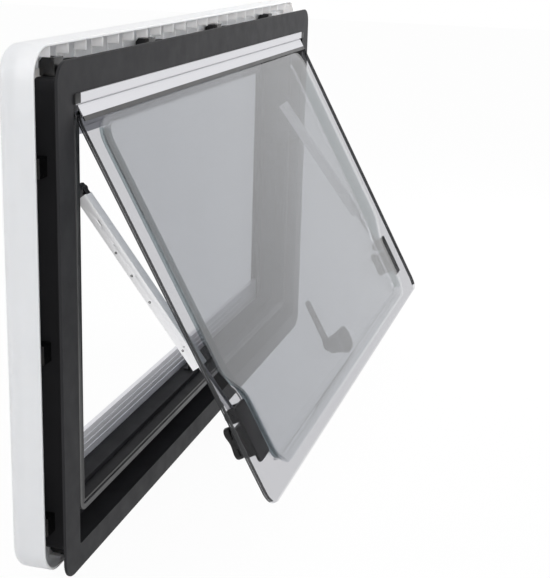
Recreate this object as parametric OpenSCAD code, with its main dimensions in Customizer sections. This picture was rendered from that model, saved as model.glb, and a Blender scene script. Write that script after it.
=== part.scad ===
// Top-hung acrylic window for a caravan wall, shown propped open on its two stays.
// X runs to the right as seen from outside, +Y points into the caravan, +Z is up.
// The origin is the middle of the flange's lower band, on the face that lies on the wall.

/* [Wall] */
// Thickness of the wall between the flange and the inner frame
wall_t = 21.5; // [21.5:0.5:40]
// Width of the wall cut-out
cutout_w = 900; // [700:10:1100]
// Height of the wall cut-out
cutout_h = 500; // [450:10:700]
// Gap between the outer frame and the cut-out
fit_gap = 1; // [0.5:0.5:3]

/* [Outer frame] */
// How far the flange laps over the wall at the sides
lap_x = 25; // [15:1:40]
// How far the flange laps over the wall at the top and bottom
lap_z = 18.5; // [12:0.5:30]
// Thickness of the flange
flange_t = 2.5; // [2:0.5:5]
// Outer corner radius of the flange
flange_r = 22; // [10:1:40]
// Chamfer on the flange's outer edge
flange_bevel = 1; // [0.5:0.1:1.5]
// Face width of the flange's side bands
band_side = 36; // [32:1:50]
// Face width of the flange's top band
band_top = 33.5; // [30:0.5:45]
// Face width of the flange's bottom band
band_bottom = 28.5; // [26:0.5:45]
// Corner radius of the recess that the pane closes into
recess_r = 3; // [2:0.5:16]
// Depth of the recess behind the flange's back
recess_d = 27; // [24:1:36]
// Thickness of the frame's walls
frame_wall = 3; // [2:0.5:4]
// Depth of the web that lines the cut-out
web_d = 36; // [32:1:38]
// Width of the land that carries the seal
land_w = 8; // [6:1:12]
// Height of the seal's land above the recess floor
land_h = 15; // [8:1:17]

/* [Inner frame] */
// How far the inner frame laps over the wall at the sides
inner_lap_x = 25; // [22:0.5:35]
// How far the inner frame laps over the wall at the top
inner_lap_top = 31.5; // [28:0.5:40]
// How far the inner frame laps over the wall at the bottom
inner_lap_bottom = 18.5; // [18:0.5:30]
// Depth of the inner frame
inner_d = 39; // [36:1:55]
// Outer corner radius of the inner frame
inner_r = 31; // [24:1:45]
// Rounding of the inner frame's room edge
inner_round = 10; // [6:1:14]
// Thickness of the inner frame's shell
shell_t = 2.5; // [2:0.5:4]
// Distance from the cut-out in to the clear opening at the sides
opening_side = 43; // [42:0.5:60]
// Distance from the cut-out in to the clear opening at the top
opening_top = 44.25; // [43:0.25:60]
// Distance from the cut-out in to the clear opening at the bottom
opening_bottom = 45.75; // [44:0.25:60]
// Corner radius of the clear opening
opening_r = 14; // [8:1:19]
// Distance between the stiffening ribs
rib_pitch = 43; // [30:1:80]

/* [Sash] */
// How far the sash stands open
open_angle = 28.5; // [5:0.5:40]
// Gap between the pane's edge and the recess at the sides
pane_gap = 5; // [5:0.5:8]
// Height of the pane's lower edge above the recess's lower edge
pane_lift = 16.75; // [8:0.25:20]
// Thickness of the outer pane
pane_t = 3; // [2.5:0.5:5]
// Corner radius of the pane
pane_r = 18; // [10:1:30]
// Thickness of the inner, moulded pane
tray_t = 2; // [1.5:0.5:3]
// Depth from the outer face to the room side of the moulded pane
tray_d = 15.5; // [11:0.5:18]
// Flat margin of the moulded pane at its sides
tray_side = 62; // [58:1:80]
// Flat margin of the moulded pane at its top
tray_top = 20; // [16:1:40]
// Flat margin of the moulded pane at its bottom
tray_bottom = 18.5; // [18.5:0.5:30]

/* [Hinge] */
// Radius of the hinge rail's bead
bead_r = 2.5; // [2:0.1:3]
// Running gap round the bead
bead_gap = 0.3; // [0.2:0.05:0.5]
// Wall of the socket round the bead
socket_wall = 1.8; // [1.4:0.1:2.4]
// Distance from the recess top down to the hinge axis
hinge_drop = 12.25; // [11:0.25:16]
// Height of the sash rail's front strip
strip_h = 12; // [8:0.5:16]
// Height of the rubber strip below the sash rail
gasket_h = 5; // [3:0.5:8]
// Length of each hinge rail cap
cap_l = 6; // [4:0.5:10]

/* [Stays] */
// Distance from the edge of the clear opening in to each stay
stay_inset = 21; // [20.5:0.5:30]
// Height of the frame pivot below the hinge axis
pivot_drop = 92; // [85:1:105]
// Width of the channel
channel_w = 15; // [13:0.5:18]
// Depth of the channel
channel_d = 12; // [11:0.5:14]
// Wall of the channel
channel_wall = 1.4; // [1:0.1:2]
// Width of the sliding bar
bar_w = 8; // [6:0.5:10]
// Thickness of the sliding bar
bar_t = 4; // [3:0.5:5]
// Distance from the bracket pin down to the pane's lower edge
bracket_lift = 94; // [88:1:105]
// Radius of the pivot pins
pin_r = 2.5; // [2:0.25:3.5]
// Running gap round the pivot pins
pin_gap = 0.05; // [0.02:0.01:0.1]

/* [Knobs and latch] */
// Span of a clamp knob's wing
knob_span = 32; // [26:1:34]
// Width of a clamp knob's lobes
knob_w = 12; // [9:0.5:13]
// Height of a clamp knob
knob_h = 9; // [7:0.5:12]
// Distance of the latch from the middle
latch_x = 40; // [-80:1:80]
// Distance from the latch's axis down to the pane's lower edge
latch_lift = 42; // [38:1:60]
// How far the latch's base stands off the pane
latch_base_t = 23.5; // [16:0.5:23.5]
// Length of the latch lever from its axis
lever_l = 66; // [40:1:80]
// Width of the latch lever
lever_w = 8; // [6:0.5:12]

/* [Blinds] */
// Height of each pull bar
bar_h = 32; // [24:1:40]
// Depth of each pull bar
bar_d = 8; // [6:0.5:10]
// Width of each guide rail
guide_w = 15; // [10:1:15.5]
// Radius of each rolled blind
roll_r = 8; // [6:0.5:8.5]
// Width of each handle
handle_w = 62; // [40:1:90]

/* [Wall clamps] */
// Width of a clamp
clamp_w = 20; // [14:1:30]
// Length of the tongues of the top and bottom clamps
tongue_l = 58; // [20:1:64]
// Length of the tongues of the side clamps
side_tongue_l = 38; // [20:1:44]
// Distance between the clamps along the top and bottom
clamp_pitch = 250; // [150:5:260]

/* [Hidden] */
$fn = 48;

// Cuts run past a face by one of these, and joined shapes bite into each other by the other
past = 1;
bite = 0.5;

// Heights count from the middle of the flange's lower lap
flange_x = cutout_w / 2 + lap_x;
flange_z0 = -lap_z / 2;
cutout_z0 = flange_z0 + lap_z;
cutout_z1 = cutout_z0 + cutout_h;
flange_z1 = cutout_z1 + lap_z;
flange_in = flange_r / 2;
plate_set = flange_in - bite;

web_x = cutout_w / 2 - fit_gap;
web_z0 = cutout_z0 + fit_gap;
web_z1 = cutout_z1 - fit_gap;
web_r = 12;

recess_x = flange_x - band_side;
recess_z0 = flange_z0 + band_bottom;
recess_z1 = flange_z1 - band_top;

inner_x = cutout_w / 2 + inner_lap_x;
inner_y0 = wall_t;
inner_y1 = inner_y0 + inner_d;
inner_z0 = cutout_z0 - inner_lap_bottom;
inner_z1 = cutout_z1 + inner_lap_top;
opening_x = cutout_w / 2 - opening_side;
opening_z0 = cutout_z0 + opening_bottom;
opening_z1 = cutout_z1 - opening_top;
opening_h = opening_z1 - opening_z0;
return_t = 3.5;
return_d = 9;
return_y = inner_y1 - return_d;

hinge_y = 4.5;
hinge_z = recess_z1 - hinge_drop;
socket_r = bead_r + bead_gap + socket_wall;
pane_x = recess_x - pane_gap;
pane_top = 6.5;
pane_z1 = hinge_z - pane_top;
pane_z0 = recess_z0 + pane_lift;
pane_u = hinge_z - pane_z0;
glass_t = pane_t + tray_t;

land_top = recess_d - land_h;
land_inset = 2;
land_lift = 5.5;
land_top_lap = 2;
land_round = 4;
land_x = opening_x + land_inset + land_w;
land_z0 = pane_z0 + land_lift;
land_z1 = pane_z1 + land_top_lap;
land_r = pane_r - land_round;
seal_h = 5;
seal_edge = 0.5;
seal_lip_t = 2;
seal_neck_w = 3;

// The stay's frame pivot and bracket pin lie at about one depth when the sash is shut
stay_x = opening_x - stay_inset;
stay_y = 15;
pivot_z = hinge_z - pivot_drop;
bracket_u = pane_u - bracket_lift;
bracket_d = 16;
bracket_z = hinge_z - bracket_u;
stay_shut = bracket_u - pivot_drop;
channel_room = 42;
bar_room_l = 2;
channel_l = stay_shut - channel_room;
bar_l = stay_shut / 2 - bar_room_l;

// Where a point of the shut sash lies when the sash is open
function swung_y(y, z) = hinge_y + (y - hinge_y) * cos(open_angle) + (z - hinge_z) * sin(open_angle);
function swung_z(y, z) = hinge_z - (y - hinge_y) * sin(open_angle) + (z - hinge_z) * cos(open_angle);
pin_y = swung_y(bracket_d, bracket_z);
pin_z = swung_z(bracket_d, bracket_z);
stay_angle = atan2(stay_y - pin_y, pivot_z - pin_z);

knob_drop = 29;
knob_u = bracket_u + knob_drop;
knob_base = 24;
knob_lift = 1;
stud_r = 3;

latch_u = pane_u - latch_lift;
latch_z = hinge_z - latch_u;
lever_gap = 1;
lever_t = 6;
nose_gap = 3;
lever_y = tray_d + latch_base_t + lever_gap;
nose_l = latch_z - opening_z0 - nose_gap;

bar_back = 2;
bar_y0 = inner_y1 - bar_d - bite;
bar_depth = bar_d - bar_back;
bar_play = 0.3;
bar_lift = 0.5;
guide_x = opening_x - guide_w;
guide_wall = 3;
bar_lap = 4;

roll_back = 1;
roll_gap = 6;
roll_in = 6;
roll_y = inner_y1 - shell_t - roll_r - roll_back;
screen_roll_z = opening_z1 + return_t + roll_gap + roll_r;
blind_roll_z = opening_z0 - return_t - roll_gap - roll_r;
roll_x = opening_x - roll_in;
axle_r = 2.5;
axle_l = 3;

clamp_t = 4;
clamp_d = 16;
clamp_h = 14;
jaw_gap = 0.2;
jaw_y = wall_t + jaw_gap;
screw_r = 2;
screw_gap = 0.1;
screw_head_r = 3.8;
screw_head_t = 2.5;
screw_back = 9;
screw_y = wall_t + screw_back;

// How far each row of clamps reaches out from the frame's web, and the room left to the inner frame's shell
room_top = 13;
room_bottom = 4;
room_side = 7;
reach_top = inner_z1 - shell_t - web_z1 - room_top;
reach_bottom = web_z0 - inner_z0 - shell_t - room_bottom;
reach_side = inner_x - shell_t - web_x - room_side;

// The ledge and ribs stand inside the inner frame's shell, behind and beside the clamps
ledge_set = 5.5;
ledge_gap = 1.3;
ledge_w = inner_r - ledge_set;
ledge_y = jaw_y + clamp_d + ledge_gap;
rib_t = 1.5;
rib_set = 4;
rib_foot = 0.8;
rib_gap = 1.5;

// Helpers

// Turns a drawing in X and Z, with its depth along Y
module upright() {
    rotate([90, 0, 0]) mirror([0, 0, 1]) children();
}

// A flat slab of the drawing between two depths
module slab(y0, y1) {
    upright() translate([0, 0, y0]) linear_extrude(y1 - y0) children();
}

// A rectangle with round corners, centred on X
module rounded(xh, z0, z1, r) {
    translate([-xh, z0 + r]) square([2 * xh, z1 - z0 - 2 * r]);
    translate([-xh + r, z0]) square([2 * xh - 2 * r, z1 - z0]);
    for (x = [-xh + r, xh - r], z = [z0 + r, z1 - r]) translate([x, z]) circle(r);
}

// Sweeps a profile round a rounded rectangle: its x points outwards, its y is the depth
module swept(xh, z0, z1, r) {
    zh = (z1 - z0) / 2;
    upright() translate([0, (z0 + z1) / 2, 0]) for (side = [0:3]) rotate([0, 0, 90 * side]) {
        away = side % 2 == 0 ? xh : zh;
        along = side % 2 == 0 ? zh : xh;
        translate([away, along - r, 0]) rotate([90, 0, 0]) linear_extrude(2 * (along - r)) children();
        translate([away - r, along - r, 0]) rotate_extrude(angle = 90) translate([r, 0]) children();
    }
}

// A drawing in Y and Z, drawn out along X between two places
module along_x(x0, x1) {
    translate([x0, 0, 0]) rotate([90, 0, 90]) linear_extrude(x1 - x0) children();
}

// A round bar along X
module rod_x(x0, x1, r) {
    translate([x0, 0, 0]) rotate([0, 90, 0]) cylinder(h = x1 - x0, r = r);
}

// A round bar along Y
module rod_y(y0, y1, r) {
    translate([0, y0, 0]) rotate([-90, 0, 0]) cylinder(h = y1 - y0, r = r);
}

// Swings the shut sash open about the hinge
module swung() {
    translate([0, hinge_y, hinge_z]) rotate([-open_angle, 0, 0])
        translate([0, -hinge_y, -hinge_z]) children();
}

// Puts a left-hand piece on the left, or mirrors it to the right
module on_side(side) {
    if (side < 0) children();
    else mirror([1, 0, 0]) children();
}

// Outer frame

module recess_outline(set) {
    rounded(recess_x + set, recess_z0 - set, recess_z1 + set, recess_r + set);
}

module web_outline(set) {
    rounded(web_x - set, web_z0 + set, web_z1 - set, web_r - set);
}

module opening_outline(set) {
    rounded(opening_x + set, opening_z0 - set, opening_z1 + set, opening_r + set);
}

module outer_frame() color("#3a3a3c") union() {
    // Flange with a bevelled edge
    swept(flange_x, flange_z0, flange_z1, flange_r)
        polygon([[0, 0], [0, -flange_t + flange_bevel], [-flange_bevel, -flange_t],
                 [-flange_in, -flange_t], [-flange_in, 0]]);
    slab(-flange_t, 0) difference() {
        rounded(flange_x - plate_set, flange_z0 + plate_set, flange_z1 - plate_set, flange_r - plate_set);
        recess_outline(0);
    }
    // Recess wall
    slab(-flange_t, recess_d + frame_wall) difference() {
        recess_outline(frame_wall);
        recess_outline(0);
    }
    // Recess floor
    slab(recess_d, recess_d + frame_wall) difference() {
        recess_outline(frame_wall);
        opening_outline(0);
    }
    // Web that lines the cut-out
    slab(-flange_t / 2, web_d) difference() {
        web_outline(0);
        web_outline(frame_wall);
    }
    // Inner lip that meets the inner frame's return
    slab(recess_d, return_y) difference() {
        opening_outline(frame_wall);
        opening_outline(0);
    }
    // Land for the seal
    slab(land_top, recess_d + frame_wall) difference() {
        rounded(land_x, land_z0, land_z1, land_r);
        rounded(land_x - land_w, land_z0 + land_w, land_z1 - land_w, land_r - land_w);
    }
}

// A wide lip on a narrow neck, with its foot on the land
module frame_seal() color("#1b1b1c")
    swept(land_x, land_z0, land_z1, land_r) translate([-land_w / 2, land_top - seal_h]) {
        lip = land_w / 2 - seal_edge;
        neck = seal_neck_w / 2;
        polygon([[-lip + seal_edge, 0], [lip - seal_edge, 0], [lip, seal_edge], [lip, seal_lip_t],
                 [neck, seal_lip_t + seal_edge], [neck, seal_h - 2 * seal_edge], [lip, seal_h - seal_edge],
                 [lip, seal_h], [-lip, seal_h], [-lip, seal_h - seal_edge],
                 [-neck, seal_h - 2 * seal_edge], [-neck, seal_lip_t + seal_edge],
                 [-lip, seal_lip_t], [-lip, seal_edge]]);
    }

// Hinge

rail_x = recess_x - cap_l;
lip_in = 6.8;
lip_out = 8.8;
lip_t = lip_out - lip_in;
rail_back = 6;
rail_t = 2;
rail_lip_z = 3.3;
cap_z = 2.5;
mouth_r = 12;
mouth_from = 62;
mouth_to = 163;
grip_t = 1.2;
grip_z = 2.5;
rail_end = 6;

// Trims a piece to the recess's corners
module in_recess() intersection() {
    children();
    slab(-3 * lip_out, recess_d) recess_outline(0);
}

module hinge_rail() color("#e6e6ea") in_recess()
    along_x(-rail_x, rail_x) translate([hinge_y, hinge_z]) {
        circle(bead_r);
        translate([-rail_t / 2, 0]) square([rail_t, hinge_drop - rail_t / 2]);
        translate([-lip_out, hinge_drop - rail_t]) square([lip_out + rail_back, rail_t]);
        translate([-lip_out, rail_lip_z]) square([lip_t, hinge_drop - rail_lip_z - past]);
        translate([-lip_out + lip_t / 2, rail_lip_z]) circle(lip_t / 2);
    }

module hinge_rail_cap() color("#2b2b2d") in_recess()
    along_x(-recess_x, -rail_x) translate([hinge_y, hinge_z]) {
        translate([-lip_out, cap_z]) square([lip_out + rail_back, hinge_drop - cap_z]);
        translate([-bead_r, 0]) square([2 * bead_r, cap_z + past]);
        circle(bead_r);
    }

module sash_rail() color("#d9d9dd") swung()
    along_x(-pane_x + rail_end, pane_x - rail_end) translate([hinge_y, hinge_z]) {
        difference() {
            union() {
                circle(socket_r);
                translate([-hinge_y - grip_t, -pane_top])
                    square([glass_t + 2 * grip_t, pane_top - grip_z]);
            }
            circle(bead_r + bead_gap);
            // The mouth lets the rail's web swing
            polygon([[0, 0], mouth_r * [cos(mouth_from), sin(mouth_from)], [0, mouth_r], [-mouth_r, mouth_r],
                     mouth_r * [cos(mouth_to), sin(mouth_to)]]);
        }
        translate([-hinge_y - grip_t, -strip_h - grip_z]) square([grip_t, strip_h]);
        translate([glass_t - hinge_y, -strip_h - grip_z]) square([grip_t, strip_h - past]);
    }

// Rubber strip that closes the joint between the sash rail and the pane
module rail_gasket() color("#2a2a2b") swung()
    along_x(-pane_x + rail_end, pane_x - rail_end)
        translate([-grip_t, hinge_z - strip_h - grip_z - gasket_h]) square([grip_t, gasket_h]);

// Panes

module pane_outline() {
    rounded(pane_x, pane_z0, pane_z1, pane_r);
}

module outer_pane() color("#8d9094", 0.5) swung()
    slab(0, pane_t) pane_outline();

// The moulded part's outline, drawn in beside the stay brackets
tray_x = pane_x - tray_side;
tray_z0 = pane_z0 + tray_bottom;
tray_z1 = pane_z1 - tray_top;
tray_r = 22;
waist = 14;
waist_up = 40;
waist_l = 44;
waist_z1 = hinge_z - bracket_u + waist_up;
waist_z0 = waist_z1 - waist_l;

module tray_outline(set) {
    wide = tray_x - set;
    narrow = wide - waist;
    r = tray_r - set;
    rounded(narrow, tray_z0 + set, tray_z1 - set, r);
    rounded(wide, waist_z1 - r, tray_z1 - set, r);
    polygon([[-narrow, waist_z0], [narrow, waist_z0], [wide, waist_z1], [-wide, waist_z1]]);
}

module inner_pane() color("#9a9da1", 0.5) swung() {
    slab(pane_t, glass_t) difference() {
        pane_outline();
        tray_outline(tray_t);
    }
    slab(pane_t, tray_d) difference() {
        tray_outline(0);
        tray_outline(tray_t);
    }
    slab(tray_d - tray_t, tray_d) tray_outline(0);
}

// Stays

pivot_r = 7;
pivot_gap = 2;
washer_w = 1.5;
bar_room = 1.3;
head_up = 6;
head_cut = 2;
rivet_r = 1;
rivet_y = 0.5;
rivets = [0.3, 0.48, 0.88];
slot_drop = 36;
slot_l = 6;
slot_r = 1.2;
eye_r = 6.5;

module stay_pivot() color("#1e1e20") translate([-stay_x, stay_y, pivot_z]) {
    block_x0 = stay_x - land_x + land_w;
    block_x1 = -channel_w / 2 - pivot_gap;
    along_x(block_x0, block_x1) {
        circle(pivot_r);
        translate([0, -pivot_r]) square([recess_d - stay_y, 2 * pivot_r]);
    }
    rod_x(block_x1, channel_w / 2 + washer_w, pin_r);
    rod_x(channel_w / 2 + bar_play, channel_w / 2 + bar_play + washer_w, pin_r + washer_w);
}

module stay_channel() color("#dcdcdf")
    translate([-stay_x, stay_y, pivot_z]) rotate([-stay_angle, 0, 0]) difference() {
        web_y = -bar_t / 2 - bar_room - channel_wall;
        half = channel_w / 2;
        along_x(-half, half) {
            translate([web_y, -channel_l]) square([channel_d, channel_l]);
            translate([web_y, -past]) square([channel_d - head_cut, head_up + past]);
        }
        along_x(-half + channel_wall, half - channel_wall)
            translate([web_y + channel_wall, -channel_l - past])
                square([channel_d, channel_l + head_up + 2 * past]);
        rod_x(-channel_w, channel_w, pin_r + pin_gap);
        // Rivet holes and the slot in the outer side wall
        for (part = rivets) translate([0, rivet_y, -part * channel_l]) rod_x(-channel_w, 0, rivet_r);
        along_x(-channel_w, 0) translate([rivet_y, -slot_drop]) {
            circle(slot_r);
            translate([0, -slot_l]) circle(slot_r);
            translate([-slot_r, -slot_l]) square([2 * slot_r, slot_l]);
        }
    }

module stay_bar() color("#c9c9cd")
    translate([-stay_x, pin_y, pin_z]) rotate([-stay_angle, 0, 0]) difference() {
        along_x(-bar_w / 2, bar_w / 2) {
            circle(eye_r);
            translate([-bar_t / 2, 0]) square([bar_t, bar_l]);
        }
        rod_x(-bar_w, bar_w, pin_r + pin_gap);
    }

ear_gap = 1;
ear_t = 4;
ear_r = 8;
ear_x = bar_w / 2 + ear_gap;
foot_t = 3;
foot_up = 9;
foot_r = 4;
foot_side = 4;
block_side = 3;
block_half = 17;
dome_r = 6;
hub_r = 8;
hub_h = 4;
wing_lift = 2;
wing_waist = 9;
stud_up = 6;
stud_room = 0.2;

// Bracket on the pane, in the shut sash's place
module stay_bracket() color("#1e1e20") swung() translate([-stay_x, 0, hinge_z]) {
    half = ear_x + ear_t + block_side;
    crown = knob_base - glass_t;
    // Foot
    slab(glass_t, glass_t + foot_t)
        rounded(half + foot_side, -knob_u - block_half - foot_up + ear_gap, -bracket_u + foot_up, foot_r);
    // Ears and pin
    for (side = [-1, 1]) along_x(side < 0 ? -ear_x - ear_t : ear_x, side < 0 ? -ear_x : ear_x + ear_t)
        translate([bracket_d, -bracket_u]) {
            circle(ear_r);
            translate([glass_t - bracket_d, -ear_r]) square([bracket_d - glass_t, 2 * ear_r]);
        }
    translate([0, bracket_d, -bracket_u]) rod_x(-ear_x - ear_t - past, ear_x + ear_t + past, pin_r);
    // Clamp block with a domed back
    along_x(-half, half) translate([glass_t, -knob_u]) {
        translate([0, -block_half]) square([crown - dome_r, 2 * block_half]);
        translate([0, -block_half + dome_r]) square([crown, 2 * block_half - 2 * dome_r]);
        for (end = [-1, 1]) translate([crown - dome_r, end * (block_half - dome_r)]) circle(dome_r);
    }
    translate([0, 0, -knob_u]) rod_y(knob_base - past, knob_base + knob_lift + stud_up, stud_r);
}

// Two-lobed wing knob that clamps the stay
module stay_knob() color("#1e1e20") swung() translate([-stay_x, 0, hinge_z - knob_u]) {
    y0 = knob_base + knob_lift;
    arm = (knob_span - knob_w) / 2;
    difference() {
        union() {
            rod_y(y0, y0 + hub_h, hub_r);
            slab(y0 + wing_lift, y0 + knob_h + past) {
                translate([-wing_waist / 2, -arm]) square([wing_waist, 2 * arm]);
                for (end = [-1, 1]) translate([0, end * arm]) circle(knob_w / 2);
            }
        }
        rod_y(y0 - past, y0 + stud_up + stud_room, stud_r + pin_gap);
    }
}

// Latch

base_foot_t = 3;
base_foot_x = 20;
base_foot_r = 6;
base_up = 15;
base_down = 17;
base_x = 13;
base_r = 8;
base_trim = 3;
lever_hub_r = 9;
nose_w = 10;
nose_r = 3;
keeper_t = 3;
keeper_x = 24;
keeper_h = 8;
keeper_r = 2;
shelf_d = 10;
shelf_t = 2.2;
shelf_r = 1;
keeper_gap = 2;

module latch_base() color("#1e1e20") swung() translate([latch_x, 0, latch_z]) {
    slab(tray_d, tray_d + base_foot_t) rounded(base_foot_x, -base_down, base_up, base_foot_r);
    slab(tray_d + base_foot_t, tray_d + latch_base_t)
        rounded(base_x, -base_down + base_trim, base_up - base_trim, base_r);
    rod_y(tray_d + latch_base_t - past, lever_y + lever_t, stud_r);
}

module latch_lever() color("#1e1e20") swung() translate([latch_x, 0, latch_z]) {
    tip = nose_l - nose_r;
    difference() {
        union() {
            rod_y(lever_y, lever_y + lever_t + past, lever_hub_r);
            slab(lever_y, lever_y + lever_t) {
                translate([-lever_w / 2, 0]) square([lever_w, lever_l - lever_w / 2]);
                translate([0, lever_l - lever_w / 2]) circle(lever_w / 2);
                translate([0, -nose_w / 2]) square([tip, nose_w]);
                translate([tip, -nose_w / 2 + nose_r]) square([nose_r, nose_w - 2 * nose_r]);
                for (side = [-1, 1]) translate([tip, side * (nose_w / 2 - nose_r)]) circle(nose_r);
            }
        }
        rod_y(lever_y - past, lever_y + lever_t + stud_room, stud_r + pin_gap);
    }
}

// Stands on the frame's lip, where the latch's nose turns in behind it
module latch_keeper() color("#1e1e20") translate([latch_x, lever_y - keeper_t - keeper_gap, opening_z0]) {
    slab(0, keeper_t) rounded(keeper_x, 0, keeper_h, keeper_r);
    slab(0, shelf_d) rounded(keeper_x, 0, shelf_t, shelf_r);
}

// Inner frame

module edge_profile() {
    arc_y = inner_y1 - inner_round;
    inset = inner_round + past;
    difference() {
        union() {
            translate([-inset, inner_y0]) square([inset, inner_d - inner_round]);
            translate([-inset, inner_y0]) square([past, inner_d]);
            translate([-inner_round, arc_y]) circle(inner_round);
        }
        translate([-inset - past, inner_y0 - past])
            square([inset + past - shell_t, inner_d - inner_round + past]);
        translate([-inset - past, inner_y0 - past]) square([2 * past, inner_d - shell_t + past]);
        translate([-inner_round, arc_y]) circle(inner_round - shell_t);
        translate([-inset - inner_round, inner_y0 - past]) square([inner_round, inner_d + 2 * past]);
    }
    // Ledge inside the shell
    translate([-ledge_w, ledge_y]) square([ledge_w - bite, shell_t]);
}

// A rib that stands on the shell, between the ledge and the wall, and goes on as a low step on the ledge
module shell_rib(height) {
    depth = ledge_y - inner_y0 - rib_set + bite;
    translate([-rib_t / 2, inner_y0 + rib_set, shell_t - bite]) cube([rib_t, depth, height + bite]);
    translate([-rib_t / 2, ledge_y - rib_foot, bite]) cube([rib_t, rib_foot + bite, ledge_w - past]);
}

module inner_frame() color("#e2e2e5") union() {
    mid_z = (inner_z0 + inner_z1) / 2;
    ribs_x = floor((inner_x - inner_r - clamp_t) / rib_pitch);
    ribs_z = floor((inner_z1 - mid_z - inner_r - clamp_t) / rib_pitch);
    face_set = inner_round + bite;
    // Side walls with a rounded room edge
    swept(inner_x, inner_z0, inner_z1, inner_r) edge_profile();
    // Face
    slab(inner_y1 - shell_t, inner_y1) difference() {
        rounded(inner_x - face_set, inner_z0 + face_set, inner_z1 - face_set, inner_r - face_set);
        opening_outline(0);
    }
    // Return that meets the outer frame
    slab(return_y, inner_y1) difference() {
        opening_outline(return_t);
        opening_outline(0);
    }
    // Stiffening ribs, short enough to clear the clamps
    for (n = [-ribs_x:ribs_x]) {
        translate([n * rib_pitch, 0, inner_z1]) mirror([0, 0, 1]) shell_rib(room_top - rib_gap);
        translate([n * rib_pitch, 0, inner_z0]) shell_rib(room_bottom - rib_gap);
    }
    for (n = [-ribs_z:ribs_z], side = [-1, 1])
        translate([side * inner_x, 0, mid_z + n * rib_pitch]) rotate([0, -90 * side, 0])
            shell_rib(room_side - rib_gap);
}

// Blinds, parked at the sill and at the head

module guide_rail() color("#1e1e20") intersection() {
    guide_y0 = bar_y0 - guide_wall;
    translate([-opening_x, guide_y0, opening_z0]) difference() {
        cube([guide_w, inner_y1 - guide_y0, opening_h]);
        translate([guide_wall, guide_wall - bar_play, -past])
            cube([guide_w, bar_depth + 2 * bar_play, opening_h + 2 * past]);
    }
    slab(guide_y0, inner_y1) opening_outline(0);
}

groove_r = 1;

// A pull bar with long grooves on both faces
module pull_bar() {
    along_x(-guide_x - bar_lap, guide_x + bar_lap) difference() {
        translate([bar_y0, 0]) square([bar_depth, bar_h]);
        for (part = [1:3]) translate([bar_y0, part * bar_h / 4]) circle(groove_r);
        for (part = [1, 3]) translate([bar_y0 + bar_depth, part * bar_h / 4]) circle(groove_r);
    }
}

module blind_bar() color("#d2d2d6") translate([0, 0, opening_z0 + bar_lift]) pull_bar();

module screen_bar() color("#d2d2d6") translate([0, 0, opening_z1 - bar_h - bar_lift]) pull_bar();

end_l = 6;
end_trim = 4;
end_inset = 0.2;

module bar_ends() {
    for (side = [-1, 1])
        translate([side * (guide_x + bar_lap + end_l / 2) - end_l / 2, bar_y0 + end_inset, end_trim])
            cube([end_l, bar_depth - 2 * end_inset, bar_h - 2 * end_trim]);
}

module blind_bar_ends() color("#2b2b2d") translate([0, 0, opening_z0 + bar_lift]) bar_ends();

module screen_bar_ends() color("#2b2b2d") translate([0, 0, opening_z1 - bar_h - bar_lift]) bar_ends();

handle_h = 14;
handle_d = 9;
handle_r = 3;
handle_wall = 3;
grip_d = 4;

module pull_handle(z) {
    translate([0, 0, z]) difference() {
        slab(bar_y0 + bar_depth, bar_y0 + bar_depth + handle_d) rounded(handle_w / 2, 0, handle_h, handle_r);
        translate([-handle_w / 2 + grip_d, bar_y0 + bar_depth + handle_wall, handle_wall])
            cube([handle_w - 2 * grip_d, handle_d, handle_h - 2 * handle_wall]);
    }
}

module blind_handle() color("#1e1e20") pull_handle(opening_z0 + bar_lift + bar_h - handle_h - past);

module screen_handle() color("#1e1e20") pull_handle(opening_z1 - bar_lift - bar_h + past);

module roll(z) translate([0, roll_y, z]) {
    rod_x(-roll_x, roll_x, roll_r);
    rod_x(-roll_x - axle_l, roll_x + axle_l, axle_r);
}

module blind_roll() color("#ecebe8") roll(blind_roll_z);

module screen_roll() color("#55575a") roll(screen_roll_z);

holder_h = 12;
holder_d = 5;

module roll_brackets() color("#1e1e20")
    for (side = [-1, 1], z = [blind_roll_z, screen_roll_z]) difference() {
        translate([side * (roll_x + bar_play + axle_l / 2) - axle_l / 2, roll_y - holder_d, z - holder_h / 2])
            cube([axle_l, inner_y1 - shell_t - roll_y + holder_d, holder_h]);
        translate([0, roll_y, z]) rod_x(-opening_x, opening_x, axle_r + pin_gap);
    }

// Wall clamps: a foot on the frame's web and a jaw behind the wall

hood_r = 4.2;
hood_bevel = 3;
tongue_root = 9;
tongue_tip = 3;
tongue_drop = 2;
side_clamp_set = 60;
side_clamp_drop = 24;
clamp_shift = 43.5;

// Drawn for the top edge, standing on z = 0, with its jaw reaching up behind the wall
module clamp(reach, tongue) {
    top = min(clamp_h, reach - past);
    difference() {
        along_x(-clamp_w / 2, clamp_w / 2) translate([jaw_y, 0])
            polygon([[0, 0], [clamp_d, 0], [clamp_d, top - hood_bevel], [clamp_d - hood_bevel, top],
                     [clamp_t, top], [clamp_t, reach], [0, reach]]);
        translate([0, screw_y, -past]) cylinder(h = clamp_t + 2 * past, r = screw_r + screw_gap);
        translate([0, screw_y, clamp_t]) cylinder(h = top, r = hood_r);
    }
    // Tongue that tapers away along the edge
    translate([clamp_w / 2 - past, 0, top - hood_bevel]) slab(jaw_y + clamp_d - clamp_t, jaw_y + clamp_d)
        polygon([[0, 0], [0, -tongue_root], [tongue + past, -tongue_drop - tongue_tip],
                 [tongue + past, -tongue_drop]]);
}

module clamp_screw() translate([0, screw_y, 0]) {
    translate([0, 0, clamp_t]) cylinder(h = screw_head_t, r = screw_head_r);
    cylinder(h = clamp_t + past, r = screw_r);
}

web_mid = (web_z0 + web_z1) / 2;
side_span = (web_z1 - web_z0) / 2 - side_clamp_set;
top_clamps = [for (n = [0:3]) (n - 1.5) * clamp_pitch - clamp_shift];
side_clamps = [for (n = [-1:1]) web_mid + n * side_span - side_clamp_drop];

module along_top() {
    for (x = top_clamps) translate([x, 0, web_z1]) children();
}

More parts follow.
